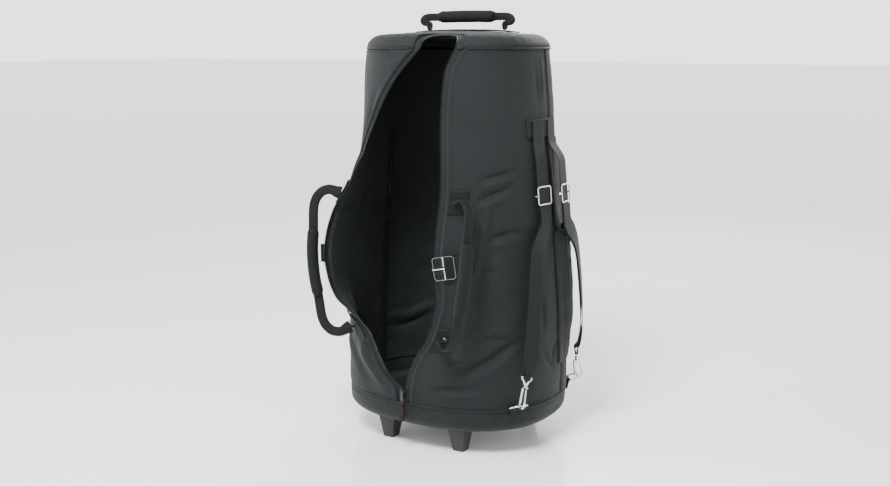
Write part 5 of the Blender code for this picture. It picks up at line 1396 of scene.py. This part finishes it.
def make_straps():
    """The band over both straps, then each strap with its hook and ring."""
    spots = [
        [around_spot(90 + 1.7 * i, height) for i in range(-10, 11)]
        for height in between(BAND_LOW, BAND_LOW + BAND_HEIGHT, 8)
    ]
    patch("strap_band_cloth", spots, BAND_THICKNESS, SHELL, ("strap_band",))
    rows = []
    for height in (BAND_LOW + 0.003, BAND_LOW + BAND_HEIGHT - 0.003):
        under = [around_spot(90 + 16.4 * i / 12, height) for i in range(-12, 13)]
        rows.append([point + normal * (SEAT + BAND_THICKNESS + 0.0002) for point, normal in under])
    stitches("band_thread", rows, "bag")
    for which in ("front", "rear"):
        make_strap(which)
        make_hook(which)
        make_ring(which)


def make_strap(which):
    """The webbing from the band to the yoke, the slide on it and the return behind the slide."""
    top = strap_direction(which, 8.0)
    on_band = SEAT + BAND_THICKNESS + 2 * GAP + STRAP_THICKNESS / 2
    off_band = BAND_LOW - 0.006
    upper = [wall(top, BAND_LOW + BAND_HEIGHT - 0.003, on_band)]
    for share in between(0, 0.8, 4):
        rise = (STANDOFF[which] - on_band) * (3 - 2 * share) * share * share
        upper.append(wall(top, off_band + (STRAIGHT_HIGH - off_band) * share, on_band + rise))
    high, low = (wall(top, height, STANDOFF[which]) for height in (STRAIGHT_HIGH, STRAIGHT_LOW))
    yoke = yoke_frame(which)
    loop = YOKE_WIRE + GAP + STRAP_THICKNESS / 2
    course = [low]
    for height, angle, share in STRAP_COURSE:
        standoff = YOKE_STANDOFF + (BOW[which] - YOKE_STANDOFF) * share
        course.append(wall(strap_direction(which, angle), height, standoff))
    course.append(at(yoke, 0, 0.012, -loop - 0.0006))
    hanging = smooth_line([*upper, high], 3) + [high.lerp(low, i / 8) for i in range(1, 9)]
    hanging += smooth_line(course, 6)[1:]
    wrap = arc(yoke[0], -yoke[3], -yoke[2], loop, 0, 180, 12) + [at(yoke, 0, 0.0045, loop)]
    across = across_line(hanging)[:-1] + [-yoke[1]] * (len(wrap) + 1)
    widths = []
    for i in range(len(hanging)):
        share = smooth_step(length_of(hanging[i:]), 0.06, 0.0)
        widths.append(STRAP_WIDTH + (STRAP_END_WIDTH - STRAP_WIDTH) * share)
    widths += [STRAP_END_WIDTH] * len(wrap)
    web = band(hanging + wrap, across, widths, STRAP_THICKNESS)
    piece(f"{which}_strap_web", web, WEB, "bag", (f"{which}_strap",))

    up = (high - low).normalized()
    origin = low.lerp(high, (SLIDE_HEIGHT - STRAIGHT_LOW) / (STRAIGHT_HIGH - STRAIGHT_LOW))
    outward = facing(origin)
    outward = (outward - up * outward.dot(up)).normalized()
    place = (origin, up.cross(outward), up, outward)
    off = STRAP_THICKNESS / 2 + GAP + SLIDE_WIRE + 0.0002
    half = STRAP_WIDTH / 2 + 0.0012 + SLIDE_WIRE
    rim = rim_line(place, 2 * half, SLIDE_LENGTH, 0.005, off)
    rim = sweep(rim, outward, SLIDE_WIRE * 0.6, SLIDE_WIRE * 0.85, 14, 3.0, closed=True)
    cross = [at(place, x, 0, z) for x, z in (
        (-half, off), (-half, 0.2 * off), (-half + 0.0008, -off), (0, -off), (half - 0.0008, -off),
        (half, 0.2 * off), (half, off),
    )]
    slide = merge([rim, rod(smooth_line(cross, 3), up, SLIDE_WIRE, 12)])
    piece(f"{which}_slide_bar", slide, CHROME, f"{which}_slide", (f"{which}_slide",))

    points = [at(place, 0, -SLIDE_LENGTH / 2 - SLIDE_WIRE - STRAP_THICKNESS / 2 - GAP, off)]
    points += [p + facing(p) * 0.0032 for p in (low, *smooth_line(course, 2)[1:-2])]
    points += [at(yoke, 0, 0.016, loop + 0.0012), at(yoke, 0, 0.0049, loop + 0.0002)]
    across = across_line(points)[:-1] + [-yoke[1]]
    widths = [STRAP_WIDTH] * (len(points) - 3)
    widths += [STRAP_WIDTH * 0.86, STRAP_WIDTH * 0.62, STRAP_END_WIDTH]
    web = band(points, across, widths, STRAP_THICKNESS, 3)
    web = piece(f"{which}_return_web", web, WEB, None, (f"{which}_strap_return",))
    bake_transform(web)


def make_hook(which):
    """The swivel snap hook: its yoke and collar, the hook and the gate."""
    yoke = yoke_frame(which)
    half, neck, middle = YOKE_WIDTH / 2, COLLAR_RADIUS + 0.0004, (0, 0)
    right = [(half - 0.0016, 0), (half, -0.0028), (neck + 0.0006, -0.008), (neck, -YOKE_LENGTH)]
    legs = [(-x, y) for x, y in reversed(right)] + [middle] + right
    shapes = [rod(smooth_line([at(yoke, x, y, 0) for x, y in legs], 4), yoke[3], YOKE_WIRE)]
    rise = COLLAR_LENGTH / 2
    collar = [at(yoke, 0, -YOKE_LENGTH + s * rise, 0) for s in (-1, -0.8, 0.8, 1)]
    shapes.append(rod(collar, yoke[1], [COLLAR_RADIUS * s for s in (0.85, 1, 1, 0.85)], 24))
    piece(f"{which}_yoke_bar", merge(shapes), CHROME, "bag", (f"{which}_yoke",))

    top = at(yoke, 0, -YOKE_LENGTH - COLLAR_LENGTH / 2 - GAP, 0)
    place = (top, yoke[3], -yoke[2], yoke[1])
    length = (top - at(ring_frame(which), 0, 0, RING_REACH)).length + RING_WIRE + GAP + HOOK_WIRE
    wide = HOOK_HALF_WIDTH
    profile = [(0.0, 0.0024), (-wide * 0.75, 0.005), (-wide, 0.011)]
    for i in range(7):
        turn = math.pi * i / 6
        profile.append((-wide * math.cos(turn), length - wide + wide * math.sin(turn) ** 0.7))
    profile.append((wide, length - 0.012))
    hook = [rod(smooth_line([at(place, x, y, 0) for x, y in profile], 4), yoke[1], HOOK_WIRE, 16)]
    stem = [at(place, 0, y, 0) for y in (0, 0.001, 0.004, 0.005)]
    hook.append(rod(stem, yoke[1], [0.003, 0.0037, 0.0037, 0.0028], 20))
    pin = [at(place, wide * 0.6, 0.004, z) for z in (-0.0028, 0.0028)]
    hook.append(rod(pin, yoke[3], LUG_RADIUS, 16))
    piece(f"{which}_hook_bar", merge(hook), CHROME, f"{which}_hook", (f"{which}_hook",))
    hinge = at(place, wide * 0.6, 0.004 + LUG_RADIUS + GAP + GATE_WIRE, 0)
    tip = at(place, wide, length - 0.012 - GAP - 0.0002, 0)
    gate = rod([hinge, hinge.lerp(tip, 0.5), tip], yoke[1], GATE_WIRE, 12)
    piece(f"{which}_gate_bar", gate, CHROME, f"{which}_gate", (f"{which}_gate",))


def make_ring(which):
    """The D-ring and the tab that holds it."""
    place = ring_frame(which)
    points = [at(place, RING_HALF_WIDTH * share, 0, 0) for share in (-1, -0.5, 0, 0.5, 1)]
    for i in range(1, 20):
        cosine, sine = math.cos(math.pi * i / 20), math.sin(math.pi * i / 20)
        aside = math.copysign(abs(cosine) ** 0.8, cosine)
        points.append(at(place, RING_HALF_WIDTH * aside, 0, RING_REACH * sine ** 0.8))
    ring = rod(points, place[2], RING_WIRE, closed=True)
    piece(f"{which}_ring_bar", ring, CHROME, f"{which}_ring", (f"{which}_ring",))

    direction = strap_direction(which, RING_ANGLE)
    _, outward, sideways = wall_frame(direction, RING_HEIGHT)
    thickness = RING_TAB_THICKNESS
    low = RING_HEIGHT - 0.018
    inner = CORD_RADIUS * 0.6 + GAP + thickness / 2 + 0.0006
    outer = inner + thickness + GAP
    path = [
        wall(direction, low, SEAT + thickness / 2), wall(direction, BOOT_TOP - 0.004, inner),
        wall(direction, BOOT_TOP + 0.001, inner),
        *arc(place[0], outward, UP, RING_WIRE + GAP + thickness / 2, 215, -255, 16),
        wall(direction, BOOT_TOP + 0.001, outer + 0.0006),
        wall(direction, BOOT_TOP - 0.004, outer + 0.0002),
        wall(direction, low, SEAT + 1.5 * thickness + GAP + 0.0002),
    ]
    tab = band(path, sideways, RING_TAB_WIDTH, thickness, 2)
    piece(f"{which}_tab_web", tab, WEB, "bag", (f"{which}_ring_tab",))
    over = SEAT + 2 * thickness + GAP + 0.0011
    rows = [
        [wall(direction, height, over) + sideways * x for x in (-0.011, -0.005, 0, 0.005, 0.011)]
        for height in (low + 0.003, low + 0.007)
    ]
    stitches(f"{which}_tab_thread", rows, "bag", 0.003, 0.0022, 0.0004)


# Stow flap and pocket
STOW_NEAR, STOW_FAR = 94.0, 128.0
STOW_COLUMNS = 44
STOW_THICKNESS = 0.0022


def flap_place(u, t):
    ragged = 0.9 * noise.noise(Vector((t * 5, 3.0, 1.0))) * (1 - t) * math.exp(-u / 0.12)
    dip = 0.0012 * math.sin(u * 9 + 1.0) * (1 - t) ** 2
    lift = (1 - t) * (0.003 + 0.003 * math.sin(u * 11 + t * 3)) * smooth_step(1 - t, 0.0, 0.3)
    return -ragged, dip, max(lift, 0.0)


def pocket_place(u, t):
    fill = math.sin(min(1.0, 1.6 * t) * math.pi / 2) * min(1.0, math.sin(u * math.pi) * 1.5)
    gather = 0.0016 * math.sin(u * 30 + 2 * noise.noise(Vector((u * 4, t * 3, 0)))) * t * t
    crease = 0.0022 * noise.noise(Vector((u * 6, t * 9, 3.0)))
    return 0.0, 0.0, (0.0125 + gather + crease) * fill


def stow_cloth(name, low, high, rows, place, hems):
    """A cloth on the side, with thread along some rows and columns of its grid. place(u, t) gives
    what a point is moved aside in degrees, up and out."""
    spots = []
    for t in between(0, 1, rows):
        row = []
        for u in between(0, 1, STOW_COLUMNS):
            aside, up, out = place(u, t)
            direction = STOW_NEAR + (STOW_FAR - STOW_NEAR) * u + aside
            point, normal = around_spot(direction, low + (high - low) * t + up)
            row.append((point + normal * out, normal))
        spots.append(row)
    cloth = patch(f"stow_{name}_cloth", spots, STOW_THICKNESS, SHELL, (f"stow_{name}",))
    lines = [spots[row][1::2] for row in hems[0]]
    lines += [[row[column] for row in spots[2:rows:2]] for column in hems[1]]
    lift = SEAT + STOW_THICKNESS + 0.0002
    hem = [[point + normal * lift for point, normal in line] for line in lines]
    stitches(f"{name}_thread", hem, "bag")


def make_stow():
    """The pocket that takes the straps, and its flap."""
    stow_cloth("flap", 0.44, 0.6115, 56, flap_place, ((2, 5, 54), (2,)))
    stow_cloth("pocket", 0.165, 0.432, 70, pocket_place, ((2, 66), (1, STOW_COLUMNS - 1)))


# Inside
def make_inner_binding():
    """Tape over the seams inside the bag."""
    shapes = []
    for direction in (-SEAM_ANGLE, SEAM_ANGLE):
        heights = between(BOOT_TOP + 0.002, RIM - 0.008, 60)
        line = [wall(direction, height, -WALL - 0.0006) for height in heights]
        across = [wall_frame(direction, height)[2] for height in heights]
        shapes.append(sweep(line, across, 0.011, 0.0007, 12, 4.0))
    piece("inner_seam_tape", merge(shapes), BINDING, "bag")


# Feet and wheels
HUB_PROFILE = (
    (0.01, 0.0035), (0.01, 0.0062), (0.0055, 0.0076), (0.0055, 0.0142), (0.009, 0.0162),
)
TREAD_PROFILE = (
    (0.0088, 0.0165), (0.01, 0.018), (0.01, 0.0195), (0.0092, 0.021), (0.0076, 0.0218),
    (0.004, 0.022), (0.003, 0.0214),
)
WHEEL_CENTRE = Vector((0.112, 0.106, 0.022))
FOOT_CENTRE = (0.083, -0.127)
FOOT_WIDTH, FOOT_WIDTH_BELOW = 0.039, 0.0235
FOOT_HOLLOW = 0.03


def make_wheels():
    """Each wheel is turned from a profile of (half width, radius), the same on both sides."""
    for side, name in ((-1, "left"), (1, "right")):
        centre = Vector((side * WHEEL_CENTRE.x, WHEEL_CENTRE.y, WHEEL_CENTRE.z))
        for label, look, node, half in (
            ("hub", FOOT_PLASTIC, f"wheel_{name}", HUB_PROFILE),
            ("tread", TYRE, f"tyre_{name}", TREAD_PROFILE),
        ):
            profile = [*half, *((-x, radius) for x, radius in reversed(half))]
            shape = bmesh.new()
            verts = [shape.verts.new((x, 0, radius)) for x, radius in profile]
            loop = [shape.edges.new(pair) for pair in zip(verts, verts[1:] + verts[:1])]
            bmesh.ops.spin(
                shape, geom=verts + loop, cent=(0, 0, 0), axis=(1, 0, 0), angle=2 * math.pi,
                steps=48, use_merge=True,
            )
            bmesh.ops.remove_doubles(shape, verts=shape.verts, dist=0.00001)
            bmesh.ops.recalc_face_normals(shape, faces=shape.faces)
            bmesh.ops.translate(shape, vec=centre, verts=shape.verts)
            piece(f"{name}_{label}", shape, look, f"{name}_wheel", (node,), smooth=35.0)


def make_feet():
    """Tapered feet, moulded with a raised rim under the boot and a hollow from below."""
    for side, name in ((-1, "left"), (1, "right")):
        shape = bmesh.new()
        bmesh.ops.create_cube(shape, size=1.0)
        for vert in shape.verts:
            high = vert.co.z > 0
            width = FOOT_WIDTH if high else FOOT_WIDTH_BELOW
            vert.co *= width
            vert.co.z = BASE_HEIGHT - GAP if high else 0.0
        under = [f for f in shape.faces if f.normal.z < -0.5]
        bmesh.ops.inset_region(shape, faces=under, thickness=0.004)
        bmesh.ops.inset_region(shape, faces=under, thickness=0.001, depth=-FOOT_HOLLOW)
        edges = [e for e in shape.edges if e.calc_face_angle(0.0) > 0.5]
        bmesh.ops.bevel(shape, geom=edges, offset=0.0022, segments=3, profile=0.5, affect="EDGES",
                        material=-1)
        centre = Vector((side * FOOT_CENTRE[0], FOOT_CENTRE[1], 0.0))
        bmesh.ops.translate(shape, vec=centre, verts=shape.verts)
        piece(f"{name}_foot", shape, RUBBER, "bag", (f"foot_{name}",), smooth=35.0)


def make_hard_parts():
    """Rigid nodes of the model that are shown as they are, with a better finish."""
    for look, nodes in (
        (FOOT_PLASTIC, ("wheel_housing_left", "wheel_housing_right")),
        (STEEL, ("wheel_axle",)),
        (DARK_METAL, ("zip_slider", "zip_tab", "zip_stop")),
    ):
        for node in nodes:
            materials = frame["nodes"][node].data.materials
            materials.clear()
            materials.append(look[0])


# Picture
CAMERA_PLACE = (1.2039, -1.9911, 0.8)
CAMERA_DOWN, CAMERA_ROUND = 9.8615, 31.659
CAMERA_LENS = 46.77
# Name, place, aim, size and power in watts
LIGHTS = (
    ("key", (0.3, -1.7, 2.4), (0.0, 0.0, 0.55), 0.8, 150.0),
    ("fill", (-2.2, -1.2, 1.6), (0.0, 0.0, 0.45), 1.2, 18.0),
    ("over", (-0.2, 0.9, 2.7), (0.0, 0.0, 0.4), 1.4, 16.0),
    ("rear", (-0.4, 2.6, 1.9), (0.0, 0.0, 0.45), 1.4, 40.0),
)


def make_floor():
    floor = bmesh.new()
    bmesh.ops.create_grid(floor, x_segments=1, y_segments=1, size=40.0)
    mesh = bpy.data.meshes.new("floor")
    floor.to_mesh(mesh)
    floor.free()
    made = bpy.data.materials.new("glossy_floor")
    made.use_nodes = True
    shader = made.node_tree.nodes["Principled BSDF"]
    shader.inputs["Base Color"].default_value = (0.96, 0.96, 0.96, 1.0)
    shader.inputs["Roughness"].default_value = 0.16
    shader.inputs["Specular IOR Level"].default_value = 0.35
    mesh.materials.append(made)
    thing = bpy.data.objects.new("floor", mesh)
    bpy.context.scene.collection.objects.link(thing)


def make_sky():
    """White light from all round, stronger near the horizon."""
    world = bpy.data.worlds.new("studio")
    world.use_nodes = True
    tree = world.node_tree
    back = tree.nodes["Background"]
    back.inputs["Color"].default_value = (1.0, 1.0, 1.0, 1.0)
    split = tree.nodes.new("ShaderNodeSeparateXYZ")
    link(tree, tree.nodes.new("ShaderNodeTexCoord").outputs["Generated"], split.inputs[0])
    fade = add(tree, "ShaderNodeMapRange", interpolation_type="SMOOTHSTEP")
    for label, value in (("From Min", 0.15), ("From Max", 0.75), ("To Min", 2.6), ("To Max", 0.65)):
        fade.inputs[label].default_value = value
    link(tree, split.outputs[2], fade.inputs["Value"])
    link(tree, fade.outputs["Result"], back.inputs["Strength"])
    bpy.context.scene.world = world


def make_studio():
    """Floor, light and camera of the picture."""
    make_floor()
    make_sky()
    objects = bpy.context.scene.collection.objects
    for name, place, aim, size, power in LIGHTS:
        light = bpy.data.lights.new(name, "AREA")
        light.size = size
        light.energy = power
        lamp = bpy.data.objects.new(name, light)
        lamp.location = place
        lamp.rotation_euler = (Vector(aim) - Vector(place)).to_track_quat("-Z", "Y").to_euler()
        objects.link(lamp)

    lens = bpy.data.cameras.new("camera")
    lens.lens = CAMERA_LENS
    lens.sensor_width = 36.0
    camera = bpy.data.objects.new("camera", lens)
    camera.location = CAMERA_PLACE
    camera.rotation_euler = (math.radians(90 - CAMERA_DOWN), 0.0, math.radians(CAMERA_ROUND))
    objects.link(camera)
    bpy.context.scene.camera = camera


make_side_wall(-1, "left")
make_side_wall(1, "right")
for make in (
    make_back_wall, make_top, make_boot, make_base_board, make_piping, make_wall_stitches, make_zip,
    make_pull, make_handles, make_closing_strap, make_tongue, make_straps, make_stow,
    make_inner_binding, make_wheels, make_feet, make_hard_parts, make_studio,
):
    make()
